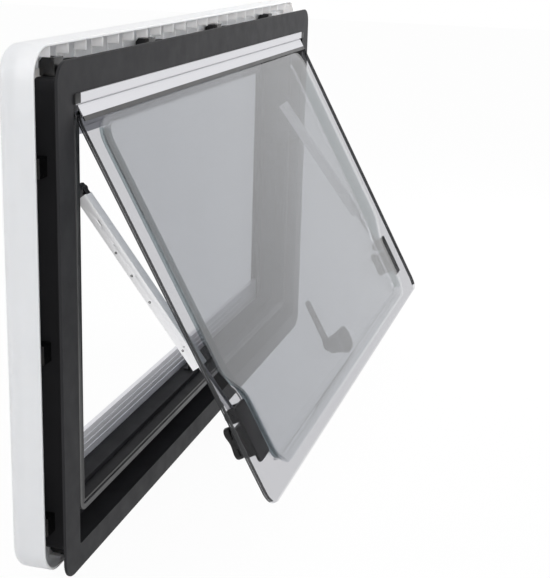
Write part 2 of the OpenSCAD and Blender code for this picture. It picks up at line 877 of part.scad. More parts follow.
module along_left() {
    for (z = side_clamps) translate([-web_x, 0, z]) rotate([0, -90, 0]) children();
}

module turned_down() {
    translate([0, 0, web_z0 + web_z1]) mirror([0, 0, 1]) children();
}

module clamps_top() color("#1e1e20") along_top() clamp(reach_top, tongue_l);
module clamps_bottom() color("#1e1e20") turned_down() along_top() clamp(reach_bottom, tongue_l);
module clamps_left() color("#1e1e20") along_left() clamp(reach_side, side_tongue_l);
module clamps_right() color("#1e1e20") mirror([1, 0, 0]) along_left() clamp(reach_side, side_tongue_l);
module clamp_screws_top() color("#b8b8bc") along_top() clamp_screw();
module clamp_screws_bottom() color("#b8b8bc") turned_down() along_top() clamp_screw();
module clamp_screws_left() color("#b8b8bc") along_left() clamp_screw();
module clamp_screws_right() color("#b8b8bc") mirror([1, 0, 0]) along_left() clamp_screw();

outer_frame();
frame_seal();
hinge_rail();
on_side(-1) hinge_rail_cap();  // hinge_rail_cap_left
on_side(1) hinge_rail_cap();  // hinge_rail_cap_right
on_side(-1) stay_pivot();  // stay_pivot_left
on_side(1) stay_pivot();  // stay_pivot_right
latch_keeper();
inner_frame();
on_side(-1) guide_rail();  // guide_rail_left
on_side(1) guide_rail();  // guide_rail_right
blind_bar();
screen_bar();
blind_bar_ends();
screen_bar_ends();
blind_handle();
screen_handle();
blind_roll();
screen_roll();
roll_brackets();
clamps_top();
clamps_bottom();
clamps_left();
clamps_right();
clamp_screws_top();
clamp_screws_bottom();
clamp_screws_left();
clamp_screws_right();
sash_rail();
rail_gasket();
outer_pane();
inner_pane();
on_side(-1) stay_bracket();  // stay_bracket_left
on_side(1) stay_bracket();  // stay_bracket_right
latch_base();
on_side(-1) stay_knob();  // stay_knob_left
on_side(1) stay_knob();  // stay_knob_right
latch_lever();
on_side(-1) stay_channel();  // stay_channel_left
on_side(1) stay_channel();  // stay_channel_right
on_side(-1) stay_bar();  // stay_bar_left
on_side(1) stay_bar();  // stay_bar_right
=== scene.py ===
# %% [markdown]
# # A top-hung caravan window
#
# This lesson dresses a caravan window: a smoky double pane in a dark frame that hangs from a
# pale rail and stands open on two stays, with a white frame on the room side of the wall.
# The solids come from the frame file, in metres. X runs to the right as seen from outside,
# +Y points into the caravan and +Z is up. Each step says what a piece or finish is on the
# real window, how it could be made, and why this way was chosen.

import math

import bmesh
import bpy
from mathutils import Matrix, Vector


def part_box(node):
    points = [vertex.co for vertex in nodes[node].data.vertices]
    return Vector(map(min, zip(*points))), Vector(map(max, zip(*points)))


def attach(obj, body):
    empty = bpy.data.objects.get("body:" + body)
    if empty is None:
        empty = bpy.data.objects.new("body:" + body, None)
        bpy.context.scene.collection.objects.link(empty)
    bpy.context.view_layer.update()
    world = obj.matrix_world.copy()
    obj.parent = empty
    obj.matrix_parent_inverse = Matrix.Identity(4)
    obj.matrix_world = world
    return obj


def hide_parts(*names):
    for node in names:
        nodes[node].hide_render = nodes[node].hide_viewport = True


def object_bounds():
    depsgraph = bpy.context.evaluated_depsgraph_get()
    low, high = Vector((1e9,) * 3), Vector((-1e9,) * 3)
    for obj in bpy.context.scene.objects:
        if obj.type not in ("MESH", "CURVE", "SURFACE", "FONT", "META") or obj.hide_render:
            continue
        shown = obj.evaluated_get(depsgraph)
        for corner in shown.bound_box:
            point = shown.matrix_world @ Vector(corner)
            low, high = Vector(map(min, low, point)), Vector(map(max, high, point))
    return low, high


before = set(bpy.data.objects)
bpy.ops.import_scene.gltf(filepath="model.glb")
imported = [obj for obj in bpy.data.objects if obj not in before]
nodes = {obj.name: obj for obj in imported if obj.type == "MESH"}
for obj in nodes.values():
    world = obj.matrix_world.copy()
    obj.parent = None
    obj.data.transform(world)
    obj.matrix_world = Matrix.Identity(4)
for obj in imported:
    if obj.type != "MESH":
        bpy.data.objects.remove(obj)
cad_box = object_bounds()
MM = 0.001
print("solids in the frame:", len(nodes))
print("box in mm:", [[round(v / MM) for v in corner] for corner in cad_box])

# %% [markdown]
# ## The camera
#
# The photograph was taken from outside and from the left, a little above the window, with a
# long lens. A camera can be placed by eye, but a fit to the corners of the flange gives its
# place, the point it looks at and its small roll, so that every edge falls where it should.

# %% Camera
CAMERA_PLACE = Vector((-1.54376, -0.50730, 0.65216))
CAMERA_AIM = Vector((0.0, -0.08854, 0.19105))
CAMERA_ROLL = math.radians(1.7108)
SENSOR = 36.0
LENS = 77.952
NEAREST, FARTHEST = 0.05, 60.0


def put_in_scene(name, data):
    """A new object for a mesh, a lamp or a camera, linked to the scene."""
    thing = bpy.data.objects.new(name, data)
    bpy.context.collection.objects.link(thing)
    return thing


def turn_to(place, aim):
    """The turn that makes a camera or a lamp at one point look at another."""
    return (Vector(aim) - Vector(place)).to_track_quat("-Z", "Y")


def new_camera():
    data = bpy.data.cameras.new("camera")
    data.sensor_width = SENSOR
    data.lens = LENS
    data.clip_start = NEAREST
    data.clip_end = FARTHEST
    camera = put_in_scene("camera", data)
    camera.rotation_mode = "QUATERNION"
    roll = Matrix.Rotation(CAMERA_ROLL, 4, "Z").to_quaternion()
    camera.rotation_quaternion = turn_to(CAMERA_PLACE, CAMERA_AIM) @ roll
    camera.location = CAMERA_PLACE
    return camera


bpy.context.scene.camera = new_camera()
print("camera to aim point:", round((CAMERA_AIM - CAMERA_PLACE).length, 3), "m")

# %% [markdown]
# ## Small helpers for node trees
#
# A material is a tree of nodes. Written out one by one they fill pages, so one small function
# adds a node, sets what it is told and links or fills its inputs. Colours are picked on a
# screen, so they come as six hex digits and are turned into the linear light that the
# renderer counts in.


# %% Node helpers
def linear(hex_colour):
    """Six hex digits of a screen's colour, as linear light."""
    parts = [int(hex_colour[i:i + 2], 16) / 255 for i in (1, 3, 5)]
    light = [p / 12.92 if p <= 0.04045 else ((p + 0.055) / 1.055) ** 2.4 for p in parts]
    return (*light, 1.0)


def add(tree, kind, inputs=None, **settings):
    """Adds a node. An input that is given a socket is linked, and any other one is filled."""
    node = tree.nodes.new(kind)
    for name, value in settings.items():
        setattr(node, name, value)
    for name, value in (inputs or {}).items():
        if isinstance(value, bpy.types.NodeSocket):
            tree.links.new(value, node.inputs[name])
        else:
            node.inputs[name].default_value = value
    return node


def new_material(name):
    material = bpy.data.materials.new(name)
    material.use_nodes = True
    tree = material.node_tree
    tree.nodes.clear()
    output = add(tree, "ShaderNodeOutputMaterial")
    return material, tree, output


WHITE = (1, 1, 1, 1)
print("anthracite in linear light:", [round(v, 3) for v in linear("#404042")[:3]])

# %% [markdown]
# ## The studio
#
# The window stands on a plain pale floor in a white studio. The floor has to look white and
# still keep the shadow of the window, so the camera, mirrors and glass see it as mostly
# glowing white, while it lights the window as an ordinary pale floor. The same three kinds of
# ray see the world at a strength of 1. Three lamps are big and soft. A fourth, smaller one
# fills the shade on the far stay, and no glossy face mirrors it.

# %% Floor
FLOOR_HALF = 8.0
FLOOR_GLOW = 0.96


def seen_directly(tree):
    """1 for the rays that look at a thing, by eye, in a mirror or through glass."""
    rays = add(tree, "ShaderNodeLightPath")
    both = add(tree, "ShaderNodeMath", {0: rays.outputs["Is Camera Ray"],
                                        1: rays.outputs["Is Glossy Ray"]}, operation="MAXIMUM")
    every = add(tree, "ShaderNodeMath", {0: both.outputs[0],
                                         1: rays.outputs["Is Transmission Ray"]},
                operation="MAXIMUM")
    return every.outputs[0]


def new_floor():
    z = cad_box[0].z
    mesh = bpy.data.meshes.new("floor")
    corners = [(-FLOOR_HALF, -FLOOR_HALF, z), (FLOOR_HALF, -FLOOR_HALF, z),
               (FLOOR_HALF, FLOOR_HALF, z), (-FLOOR_HALF, FLOOR_HALF, z)]
    mesh.from_pydata(corners, [], [(0, 1, 2, 3)])
    floor = put_in_scene("floor", mesh)
    material, tree, output = new_material("pale studio floor")
    paint = add(tree, "ShaderNodeBsdfDiffuse", {"Color": linear("#e6e6e6")})
    glow = add(tree, "ShaderNodeEmission", {"Color": WHITE, "Strength": 1.0})
    white = add(tree, "ShaderNodeMixShader", {0: FLOOR_GLOW, 1: paint.outputs[0],
                                              2: glow.outputs[0]})
    shown = add(tree, "ShaderNodeMixShader", {0: seen_directly(tree), 1: paint.outputs[0],
                                              2: white.outputs[0]})
    tree.links.new(shown.outputs[0], output.inputs["Surface"])
    mesh.materials.append(material)
    return floor


floor = new_floor()
print("floor height in mm:", round(floor.data.vertices[0].co.z / MM, 2))

# %% World and lamps
AMBIENT = 0.74
CENTRE = (0.0, 0.0, 0.25)
FAR_STAY = (0.45, 0.0, 0.3)


def new_world():
    world = bpy.data.worlds.new("white studio")
    world.use_nodes = True
    tree = world.node_tree
    tree.nodes.clear()
    output = add(tree, "ShaderNodeOutputWorld")
    strength = add(tree, "ShaderNodeMapRange", {"Value": seen_directly(tree), "To Min": AMBIENT,
                                                "To Max": 1.0})
    light = add(tree, "ShaderNodeBackground", {"Color": WHITE, "Strength": strength.outputs[0]})
    tree.links.new(light.outputs[0], output.inputs["Surface"])
    bpy.context.scene.world = world


def new_lamp(name, place, aim, size, power):
    """A square lamp, its size in metres and its power in watts."""
    data = bpy.data.lights.new(name, "AREA")
    data.shape = "SQUARE"
    data.size = size
    data.energy = power
    lamp = put_in_scene(name, data)
    lamp.location = place
    lamp.rotation_mode = "QUATERNION"
    lamp.rotation_quaternion = turn_to(place, aim)
    lamp.visible_camera = False
    return lamp


new_world()
new_lamp("key", (-2.7, -2.5, 1.15), CENTRE, 2.2, 42.0)
new_lamp("top", (0.2, -0.4, 3.2), CENTRE, 2.6, 16.0)
new_lamp("room", (-2.2, 2.2, 1.6), CENTRE, 2.2, 20.0)
fill = new_lamp("right fill", (1.2, -0.9, 0.8), FAR_STAY, 0.8, 16.0)
fill.visible_glossy = False
bpy.context.scene.view_settings.view_transform = "Standard"

# %% [markdown]
# ## Moulded plastics
#
# The flange and its recess are one moulding in anthracite plastic with a fine satin grain.
# Clamps, brackets, knobs and guides are black glass-filled plastic, and the room frame is
# white and a little glossier. A flat colour looks like clay, so each gets the fine grain of
# its mould as a bump, a slow drift of tone, and gloss that changes a little from place to
# place. Light also goes a short way into the white plastic, which softens its shadows.

# %% Plastics
TONE_SPOTS, GLOSS_SPOTS = 70, 25
GRAIN_STRENGTH = 0.3
GLOW_SHARE, GLOW_COLOUR = 0.8, (1.0, 0.95, 0.9)


def object_pattern(tree, scale_mm, detail=3.0, stretch=None):
    """Noise with spots about scale_mm across, in the piece's own coordinates."""
    place = add(tree, "ShaderNodeTexCoord")
    vector = place.outputs["Object"]
    if stretch:
        vector = add(tree, "ShaderNodeMapping", {"Vector": vector, **stretch}).outputs[0]
    noise = add(tree, "ShaderNodeTexNoise", {"Vector": vector, "Scale": 1 / (scale_mm * MM),
                                             "Detail": detail, "Roughness": 0.55})
    return noise.outputs["Fac"]


def drift(tree, value, low, high):
    """Maps the middle of a noise to a range."""
    return add(tree, "ShaderNodeMapRange", {"Value": value, "From Min": 0.3, "From Max": 0.7,
                                            "To Min": low, "To Max": high}).outputs[0]


def tone(tree, value, dark, light):
    """A colour that drifts between two close tones."""
    mix = add(tree, "ShaderNodeMix", {"Factor": value}, data_type="RGBA")
    for socket in mix.inputs:
        if socket.type == "RGBA":
            socket.default_value = linear(dark if socket.name == "A" else light)
    return next(s for s in mix.outputs if s.type == "RGBA")


def moulded(name, dark, light, grain_mm, depth_mm, gloss, sheen, glow_mm=0.0):
    material, tree, output = new_material(name)
    slow = drift(tree, object_pattern(tree, TONE_SPOTS), 0, 1)
    grain = object_pattern(tree, grain_mm, 2.0)
    bump = add(tree, "ShaderNodeBump", {"Height": grain, "Distance": depth_mm * MM,
                                        "Strength": GRAIN_STRENGTH})
    shader = add(tree, "ShaderNodeBsdfPrincipled", {
        "Base Color": tone(tree, slow, dark, light),
        "Roughness": drift(tree, object_pattern(tree, GLOSS_SPOTS), *gloss),
        "Specular IOR Level": sheen,
        "Normal": bump.outputs[0],
    })
    if glow_mm:
        shader.inputs["Subsurface Weight"].default_value = GLOW_SHARE
        shader.inputs["Subsurface Radius"].default_value = GLOW_COLOUR
        shader.inputs["Subsurface Scale"].default_value = glow_mm * MM
    tree.links.new(shader.outputs[0], output.inputs["Surface"])
    return material


anthracite = moulded("satin anthracite plastic", "#242426", "#29292b", 0.5, 0.008,
                     (0.46, 0.56), 0.1)
black_plastic = moulded("black glass-filled plastic", "#0c0c0d", "#131314", 0.6, 0.02,
                        (0.4, 0.52), 0.3)
glossy_black = moulded("glossy black nylon", "#0b0b0c", "#111112", 0.6, 0.01, (0.2, 0.28), 0.6)
white_plastic = moulded("white semi-gloss plastic", "#eeeef0", "#f2f2f4", 0.8, 0.01,
                        (0.3, 0.38), 0.4, 12.0)
rubber = moulded("black sealing rubber", "#161617", "#1d1d1e", 0.4, 0.02, (0.3, 0.4), 0.6)
print("plastics and rubber:", [m.name for m in (anthracite, black_plastic, glossy_black,
                                                white_plastic, rubber)])

# %% [markdown]
# ## Anodised aluminium
#
# The hinge rails, pull bars and stays are drawn through a die and anodised. The die leaves
# fine lines along the length, and the anodising gives a satin silver. Stretched noise draws
# the lines: tight across the profile, long along it. The stays stand aslant, so their lines
# are turned with them. Their near-white colour is partly painted light: the stays are pale
# anodised silver, and the rest of their whiteness stands in for the bright studio that their
# metal would mirror. It is painted as a pale skin with a small share of metal, which needs
# nothing bright around it to mirror.

# %% Aluminium
LINE_MM, LINE_DEPTH, LINE_STRENGTH = 0.5, 0.01, 0.5
DRAWN_OUT = 0.01
LINE_LEAN = math.radians(37)


def drawn_metal(name, colour, along, gloss, turn=0.0, metal=1.0):
    material, tree, output = new_material(name)
    sizes = [1.0, 1.0, 1.0]
    sizes["XYZ".index(along)] = DRAWN_OUT
    stretch = {"Rotation": (turn, 0, 0), "Scale": tuple(sizes)}
    lines = object_pattern(tree, LINE_MM, 2.0, stretch)
    bump = add(tree, "ShaderNodeBump", {"Height": lines, "Distance": LINE_DEPTH * MM,
                                        "Strength": LINE_STRENGTH})
    shader = add(tree, "ShaderNodeBsdfPrincipled", {
        "Base Color": linear(colour),
        "Metallic": metal,
        "Roughness": drift(tree, lines, *gloss),
        "Normal": bump.outputs[0],
    })
    tree.links.new(shader.outputs[0], output.inputs["Surface"])
    return material


rail_metal = drawn_metal("satin anodised rail aluminium", "#e0e0e4", "X", (0.34, 0.46))
bar_metal = drawn_metal("brushed anodised bar aluminium", "#e4e4e8", "X", (0.3, 0.42), 0.0, 0.6)
# Partly painted light: the near-white skin stands in for the bright studio that the stays' silver
# would mirror.
stay_metal_painted_light = drawn_metal("pale anodised stay aluminium", "#fcfcfd", "Z", (0.5, 0.6),
                         LINE_LEAN, 0.1)
steel = drawn_metal("zinc plated screw steel", "#b9b9bd", "X", (0.25, 0.4))
print("metals:", [m.name for m in (rail_metal, bar_metal, stay_metal_painted_light, steel)])

# %% [markdown]
# ## Tinted acrylic
#
# The sash is two sheets of grey acrylic, polished on all faces. At this flat angle each face
# mirrors about a sixth of the white studio, so black parts behind it look mid grey, and the
# tint darkens what is white. A refracting shader is noisy and bends nothing that matters in
# a thin flat sheet, so each face is a mix: a tinted clear part and a mirror, in the share
# that the angle gives. A back face is met from inside, so its index is turned over. Where
# the sheets are bonded there is no air to mirror in, so the margins have almost none of it.
# The drawn wall and its bends are stretched and a little hazy. Their darker tints are painted
# shade for the dark lines that bent light draws there, and one bend has a painted highlight: a
# pale tint and far more mirror than its angle gives.

# %% Acrylic
REFRACTION = 1.49


def acrylic(name, tint, haze, mirror_share=1.0):
    material, tree, output = new_material(name)
    side = add(tree, "ShaderNodeNewGeometry").outputs["Backfacing"]
    index = add(tree, "ShaderNodeMapRange", {"Value": side, "To Min": REFRACTION,
                                             "To Max": 1 / REFRACTION})
    share = add(tree, "ShaderNodeFresnel", {"IOR": index.outputs[0]})
    clear = add(tree, "ShaderNodeBsdfTransparent", {"Color": linear(tint)})
    mirror = add(tree, "ShaderNodeBsdfGlossy", {"Color": WHITE, "Roughness": 0.0})
    milk = add(tree, "ShaderNodeBsdfDiffuse", {"Color": linear("#c8cacf")})
    body = add(tree, "ShaderNodeMixShader", {0: haze, 1: clear.outputs[0], 2: milk.outputs[0]})
    part = add(tree, "ShaderNodeMath", {0: share.outputs[0], 1: mirror_share},
               operation="MULTIPLY")
    pane = add(tree, "ShaderNodeMixShader", {0: part.outputs[0], 1: body.outputs[0],
                                             2: mirror.outputs[0]})
    tree.links.new(pane.outputs[0], output.inputs["Surface"])
    return material


outer_acrylic = acrylic("smoky outer acrylic", "#e2e3e5", 0.0)
inner_acrylic = acrylic("smoky inner acrylic", "#e2e3e5", 0.0)
margin_acrylic = acrylic("bonded acrylic margin", "#f0f0f1", 0.0, 0.05)
# Painted shade and a painted highlight for the tray: darker tints for the wall and bends, and a
# pale one with far more mirror.
shaded_wall_acrylic = acrylic("drawn acrylic wall", "#aab4b6", 0.03, 0.3)
shaded_bend_acrylic = acrylic("acrylic bend", "#8b8f92", 0.05, 0.4)
painted_highlight_acrylic = acrylic("bright acrylic bend", "#f4f4f6", 0.1, 14.0)
print("acrylics:", [m.name for m in (outer_acrylic, inner_acrylic, margin_acrylic, shaded_wall_acrylic,
                                     shaded_bend_acrylic, painted_highlight_acrylic)])

# %% [markdown]
# ## Cloth
#
# The blind is a white coated cloth and the flyscreen a fine grey mesh. A weave can be drawn
# thread by thread, but both are wound up behind the frame's face, where no thread would be
# seen. So they use the plastics' function with a deeper grain and almost no gloss.

# %% Cloth
white_cloth = moulded("white blind fabric", "#e2e1de", "#ecebe8", 0.7, 0.1, (0.8, 0.9), 0.2)
screen_cloth = moulded("grey flyscreen mesh", "#4c4e50", "#58595c", 0.9, 0.1, (0.7, 0.8), 0.2)
print("cloths:", white_cloth.name, "and", screen_cloth.name)

# %% [markdown]
# ## Finishes on the solids
#
# The solids keep their shape. Only their material slots are filled again, by the name of the
# finish that the record gives each one. A new object for every solid would do the same, but
# this way nothing can slip out of place.

# %% Dress the solids
FINISH = {
    "anthracite_frame": anthracite, "black_plastic": black_plastic,
    "white_plastic": white_plastic, "seal_rubber": rubber,
    "hinge_aluminium": rail_metal, "sash_aluminium": rail_metal,
    "bar_aluminium": bar_metal, "stay_aluminium": stay_metal_painted_light, "stay_steel": steel,
    "screw_steel": steel, "blind_fabric": white_cloth, "screen_fabric": screen_cloth,
    "outer_acrylic": outer_acrylic, "inner_acrylic": inner_acrylic,
}
filled = 0
for name, node in nodes.items():
    for slot in node.material_slots:
        slot_name = slot.material.name.split(".")[0] if slot.material else ""
        if slot_name in FINISH:
            slot.material = FINISH[slot_name]
            filled += 1
        else:
            print("no finish for", name, slot_name)
print("slots filled:", filled)

# %% [markdown]
# ## Where the pieces are
#
# The new pieces are drawn with the sash shut, because its sheets, screws and knobs are then
# square to the axes, and the finished meshes are swung open about the hinge. A point of the
# sash has three numbers: x from the middle, u down from the hinge axis and d in from the
# outer face. Many pieces are a stack of rings with the same number of points, so one
# function joins rings into a closed skin, and one makes a piece of any mesh.

# %% Sash places
OPEN = math.radians(28.5)
HINGE = Vector((0, 4.5, 482.0)) * MM
SWING = (Matrix.Translation(HINGE) @ Matrix.Rotation(-OPEN, 4, "X")
         @ Matrix.Translation(-HINGE))


def on_sash(x, u, d):
    """A point of the shut sash, in metres."""
    return Vector((x * MM, d * MM, HINGE.z - u * MM))


print("a point 100 mm below the hinge, swung, in mm:",
      [round(v / MM) for v in SWING @ on_sash(0, 100, 0)])


# %% New pieces
def new_piece(name, mesh, body, materials, replaced=(), swung=False):
    """Finishes a mesh as a piece of the window: outward faces, its place, body and slot."""
    chosen = [face.material_index for face in mesh.polygons]
    work = bmesh.new()
    work.from_mesh(mesh)
    bmesh.ops.recalc_face_normals(work, faces=work.faces)
    work.to_mesh(mesh)
    work.free()
    if swung:
        mesh.transform(SWING)
    mesh.materials.clear()
    for material in materials:
        mesh.materials.append(material)
    for face, index in zip(mesh.polygons, chosen):
        face.material_index = index
    piece = put_in_scene(name, mesh)
    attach(piece, body)
    if replaced:
        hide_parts(*replaced)
    print(f"{name}: {len(mesh.polygons)} faces")
    return piece


def smooth(piece, degrees):
    """Smooth shading, with edges kept where faces turn by more than the angle."""
    for face in piece.data.polygons:
        face.use_smooth = True
    piece.data.set_sharp_from_angle(angle=math.radians(degrees))


def lofted(name, rings):
    """Joins rings of points, all with the same count, into a skin with closed ends."""
    work = bmesh.new()
    rows = [[work.verts.new(p) for p in ring] for ring in rings]
    count = len(rows[0])
    for low, high in zip(rows, rows[1:]):
        for i in range(count):
            j = (i + 1) % count
            work.faces.new((low[i], low[j], high[j], high[i]))
    work.faces.new(rows[0][::-1])
    work.faces.new(rows[-1])
    mesh = bpy.data.meshes.new(name)
    work.to_mesh(mesh)
    work.free()
    return mesh


trial = lofted("trial", [[(0, 0, h), (1, 0, h), (1, 1, h), (0, 1, h)] for h in (0, 1)])
print("faces of a lofted cube:", len(trial.polygons))
bpy.data.meshes.remove(trial)

# %% [markdown]
# ## The outline that both sheets share
#
# Each sheet is sawn to a rectangle with round corners. The moulded one is also drawn in
# below a waist, where the stays' brackets stand beside it. One function gives the points of
# both outlines, with the same count at every size, so that any two of them can be lofted.

# %% Outline of a sheet
CORNER_STEPS = 10
WAIST_TOP, WAIST_FOOT, WAIST_STEPS = 300.0, 352.0, 12


def soft_step(t):
    """An S-shaped way from 0 to 1."""
    t = min(max(t, 0.0), 1.0)
    return t * t * (3 - 2 * t)


def quarter(x, u, radius, start, count):
    """Points along a quarter of a circle round (x, u), from an angle in degrees."""
    turns = [math.radians(start + 90 * k / count) for k in range(count + 1)]
    return [(x + radius * math.cos(a), u + radius * math.sin(a)) for a in turns]


def outline(half, top, bottom, radius, waist=0.0):
    """Points round a rounded rectangle in x and u, drawn in below its waist."""
    right = quarter(half - radius, top + radius, radius, -90, CORNER_STEPS)
    for k in range(WAIST_STEPS + 1):
        right.append((half - waist * soft_step(k / WAIST_STEPS),
                      WAIST_TOP + (WAIST_FOOT - WAIST_TOP) * k / WAIST_STEPS))
    right += quarter(half - waist - radius, bottom - radius, radius, 0, CORNER_STEPS)
    return right + [(-x, u) for x, u in reversed(right)]


print("points round a sheet:", len(outline(100, 0, 400, 20)))

# %% [markdown]
# ## The flat outer sheet
#
# The outer sheet is a flat plate with a polished rim. A bevelled box would do for its shape,
# but not for its looks: the rim looks darker than the faces, because the eye looks along the
# tinted sheet there, and the margin is bonded to the sheet behind it. The rim's darkness is
# painted shade: its left and right faces get a dark, nearly solid finish, and its head and
# foot get the margin's. So it is lofted, and each row of faces between two rings gets the
# finish of its place.

# %% Outer sheet
# Half width, top, bottom and corner radius of the sash and of the moulded sheet's raised part.
PANE = (434.0, 6.5, 446.0, 18.0)
TRAY = (372.0, 26.5, 427.5, 22.0)
TRAY_WAIST, WAIST_SHARE = 14.0, 0.85
SHEET_T, ROUND = 3.0, 0.4
SIDE_OUT, WALL_OUT = -29.0, -6.0
FACE, SHADED_RIM, MARGIN = 0, 1, 2


def pane_ring(inset, depth):
    half, top, bottom, radius = PANE
    return [on_sash(x, u, depth) for x, u in
            outline(half - inset, top + inset, bottom - inset, radius - inset)]


def tray_ring(side_inset, inset, depth):
    """A ring of the tray. What reaches out at the sides is drawn in again at the waist."""
    half, top, bottom, radius = TRAY
    waist = TRAY_WAIST + WAIST_SHARE * max(-side_inset, 0)
    return [on_sash(x, u, depth) for x, u in
            outline(half - side_inset, top + inset, bottom - inset, radius - inset, waist)]


def shaded_acrylic_edge(solid_share=0.88):
    """The polished rim, in painted shade: a dark, glossy finish that lets little through."""
    material, tree, output = new_material("polished acrylic edge")
    clear = add(tree, "ShaderNodeBsdfTransparent", {"Color": linear("#8c8d8f")})
    slow = drift(tree, object_pattern(tree, 30), 0, 1)
    shader = add(tree, "ShaderNodeBsdfPrincipled", {
        "Base Color": tone(tree, slow, "#1c1d1f", "#292a2c"), "Roughness": 0.2})
    both = add(tree, "ShaderNodeMixShader", {0: solid_share, 1: clear.outputs[0],
                                             2: shader.outputs[0]})
    tree.links.new(both.outputs[0], output.inputs["Surface"])
    return material


def is_side(face):
    """True for a face that looks to the left or right more than up or down."""
    return abs(face.normal.x) > abs(face.normal.z)


# Painted shade on the rim: faces that look left or right get the dark rim, the others the margin.
def shaded_rim_finish(face):
    return SHADED_RIM if is_side(face) else MARGIN


def finish_rows(mesh, around, rows):
    """Gives each row of faces its finish, which is a number or a rule that asks the face."""
    for index, face in enumerate(mesh.polygons[:around * len(rows)]):
        finish = rows[index // around]
        face.material_index = finish(face) if callable(finish) else finish


# The rim's finish is painted shade for the dark look along the tinted sheet.
rim = shaded_acrylic_edge()
outer_rings = [tray_ring(SIDE_OUT, WALL_OUT, 0), pane_ring(ROUND, 0), pane_ring(0, ROUND),
               pane_ring(0, SHEET_T - ROUND / 2), pane_ring(ROUND / 2, SHEET_T),
               tray_ring(SIDE_OUT, WALL_OUT, SHEET_T)]
around = len(outer_rings[0])
outer_mesh = lofted("outer_sheet", outer_rings)
finish_rows(outer_mesh, around, [MARGIN, shaded_rim_finish, shaded_rim_finish, shaded_rim_finish, MARGIN])
new_piece("outer_sheet", outer_mesh, "sash",
          [outer_acrylic, rim, margin_acrylic], ["outer_pane"], swung=True)

# %% [markdown]
# ## The moulded inner sheet
#
# The inner sheet is heated and drawn over a mould. It rises from its flat margin in one soft
# S-shaped bend all round and leaves an air gap that keeps the caravan warm. A bevelled box
# would leave hard corners, so the rings follow the S: up the outer skin and back down the
# inner one. At the sides the wall starts to rise far out and flat, which the power of the
# flare gives. A thin gap is left where the sheets are bonded, because two faces in one plane
# flicker, and a flat band inside the crown keeps the shading of the big face flat.

# %% Moulded sheet
TRAY_T, TRAY_D = 2.0, 15.5
WALL_STEPS, FLARE = 12, 5
SIDE_IN, WALL_IN = 1.0, 0.5
BOND, FLAT = 0.06, 2.0
# Finishes of the wall: painted shade on its sides and bends, and a painted highlight near the
# sides' crown.
SHADED_WALL, SHADED_BEND, PAINTED_HIGHLIGHT = 3, 4, 5
PAINTED_HIGHLIGHT_STEPS, SHADED_BEND_STEPS = 4, 2


def wall_place(t):
    """Side inset, head and foot inset, and depth of the wall, from its foot at 0 to 1."""
    flare = (1 - t) ** FLARE
    side = SIDE_IN + (SIDE_OUT - SIDE_IN) * flare
    inset = WALL_IN + (WALL_OUT - WALL_IN) * flare
    depth = SHEET_T + TRAY_T + (TRAY_D - SHEET_T - TRAY_T) * soft_step(t)
    return side, inset, depth


def wall_finish(step):
    """The rule of a step of the wall: painted shade on the sides and a painted highlight near
    their crown; the plain face on the head and foot, with painted shade near their crown.
    """
    def rule(face):
        if is_side(face):
            return PAINTED_HIGHLIGHT if step >= WALL_STEPS - PAINTED_HIGHLIGHT_STEPS else SHADED_WALL
        return SHADED_BEND if step >= WALL_STEPS - SHADED_BEND_STEPS else FACE
    return rule


wall = [wall_place(k / WALL_STEPS) for k in range(WALL_STEPS + 1)]
skin = [pane_ring(0, SHEET_T + BOND), pane_ring(0, SHEET_T + TRAY_T - ROUND),
        pane_ring(ROUND, SHEET_T + TRAY_T)]
skin += [tray_ring(side, inset, depth) for side, inset, depth in wall]
hollow = [tray_ring(side + TRAY_T, inset + TRAY_T, max(depth - TRAY_T, SHEET_T + BOND))
          for side, inset, depth in wall]
inner_flat = tray_ring(SIDE_IN + TRAY_T + FLAT, WALL_IN + TRAY_T + FLAT, TRAY_D - TRAY_T)
outer_flat = tray_ring(SIDE_IN + FLAT, WALL_IN + FLAT, TRAY_D)
moulded_mesh = lofted("moulded_sheet", [inner_flat] + hollow[::-1] + skin + [outer_flat])
climb = [wall_finish(step) for step in range(WALL_STEPS)]
finish_rows(moulded_mesh, around,
            [FACE] + climb[::-1] + [MARGIN, shaded_rim_finish, shaded_rim_finish, MARGIN] + climb)
moulded_sheet = new_piece(
    "moulded_sheet", moulded_mesh, "sash",
    [inner_acrylic, rim, margin_acrylic, shaded_wall_acrylic, shaded_bend_acrylic, painted_highlight_acrylic],
    ["inner_pane"], swung=True)
smooth(moulded_sheet, 40)

# %% [markdown]
# ## Softened mouldings
#
# Moulded plastic has no sharp edges: each one is rounded by a few tenths of a millimetre,
# and that thin bright line is what tells the eye how big a thing is. The solids of the small
# parts are right in shape, so each is copied, its triangles are joined to flat faces again,
# and a narrow bevel goes along every edge that turns by more than 35 degrees.

# %% Soften copies of the solids
SAME_POINT = 0.002 * MM
SAME_PLANE = math.radians(0.5)
SHARP = math.radians(35)


def softened(node_name, width, body, material):
    """A copy of a solid with rounded edges, which replaces it."""
    mesh = nodes[node_name].data.copy()
    work = bmesh.new()
    work.from_mesh(mesh)
    bmesh.ops.remove_doubles(work, verts=work.verts, dist=SAME_POINT)
    bmesh.ops.dissolve_limit(work, angle_limit=SAME_PLANE, verts=work.verts, edges=work.edges)
    for face in work.faces:
        face.smooth = True
    work.to_mesh(mesh)
    work.free()
    helper = put_in_scene("helper", mesh)
    bevel = helper.modifiers.new("bevel", "BEVEL")
    bevel.width = width * MM
    bevel.segments = 2
    bevel.limit_method = "ANGLE"
    bevel.angle_limit = SHARP
    bevel.harden_normals = True
    graph = bpy.context.evaluated_depsgraph_get()
    soft = bpy.data.meshes.new_from_object(helper.evaluated_get(graph))
    bpy.data.objects.remove(helper)
    soft.name = node_name + "_soft"
    soft.materials.clear()
    soft.materials.append(material)
    piece = put_in_scene(soft.name, soft)
    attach(piece, body)
    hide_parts(node_name)
    print(f"{soft.name}: {len(soft.polygons)} faces")
    return piece


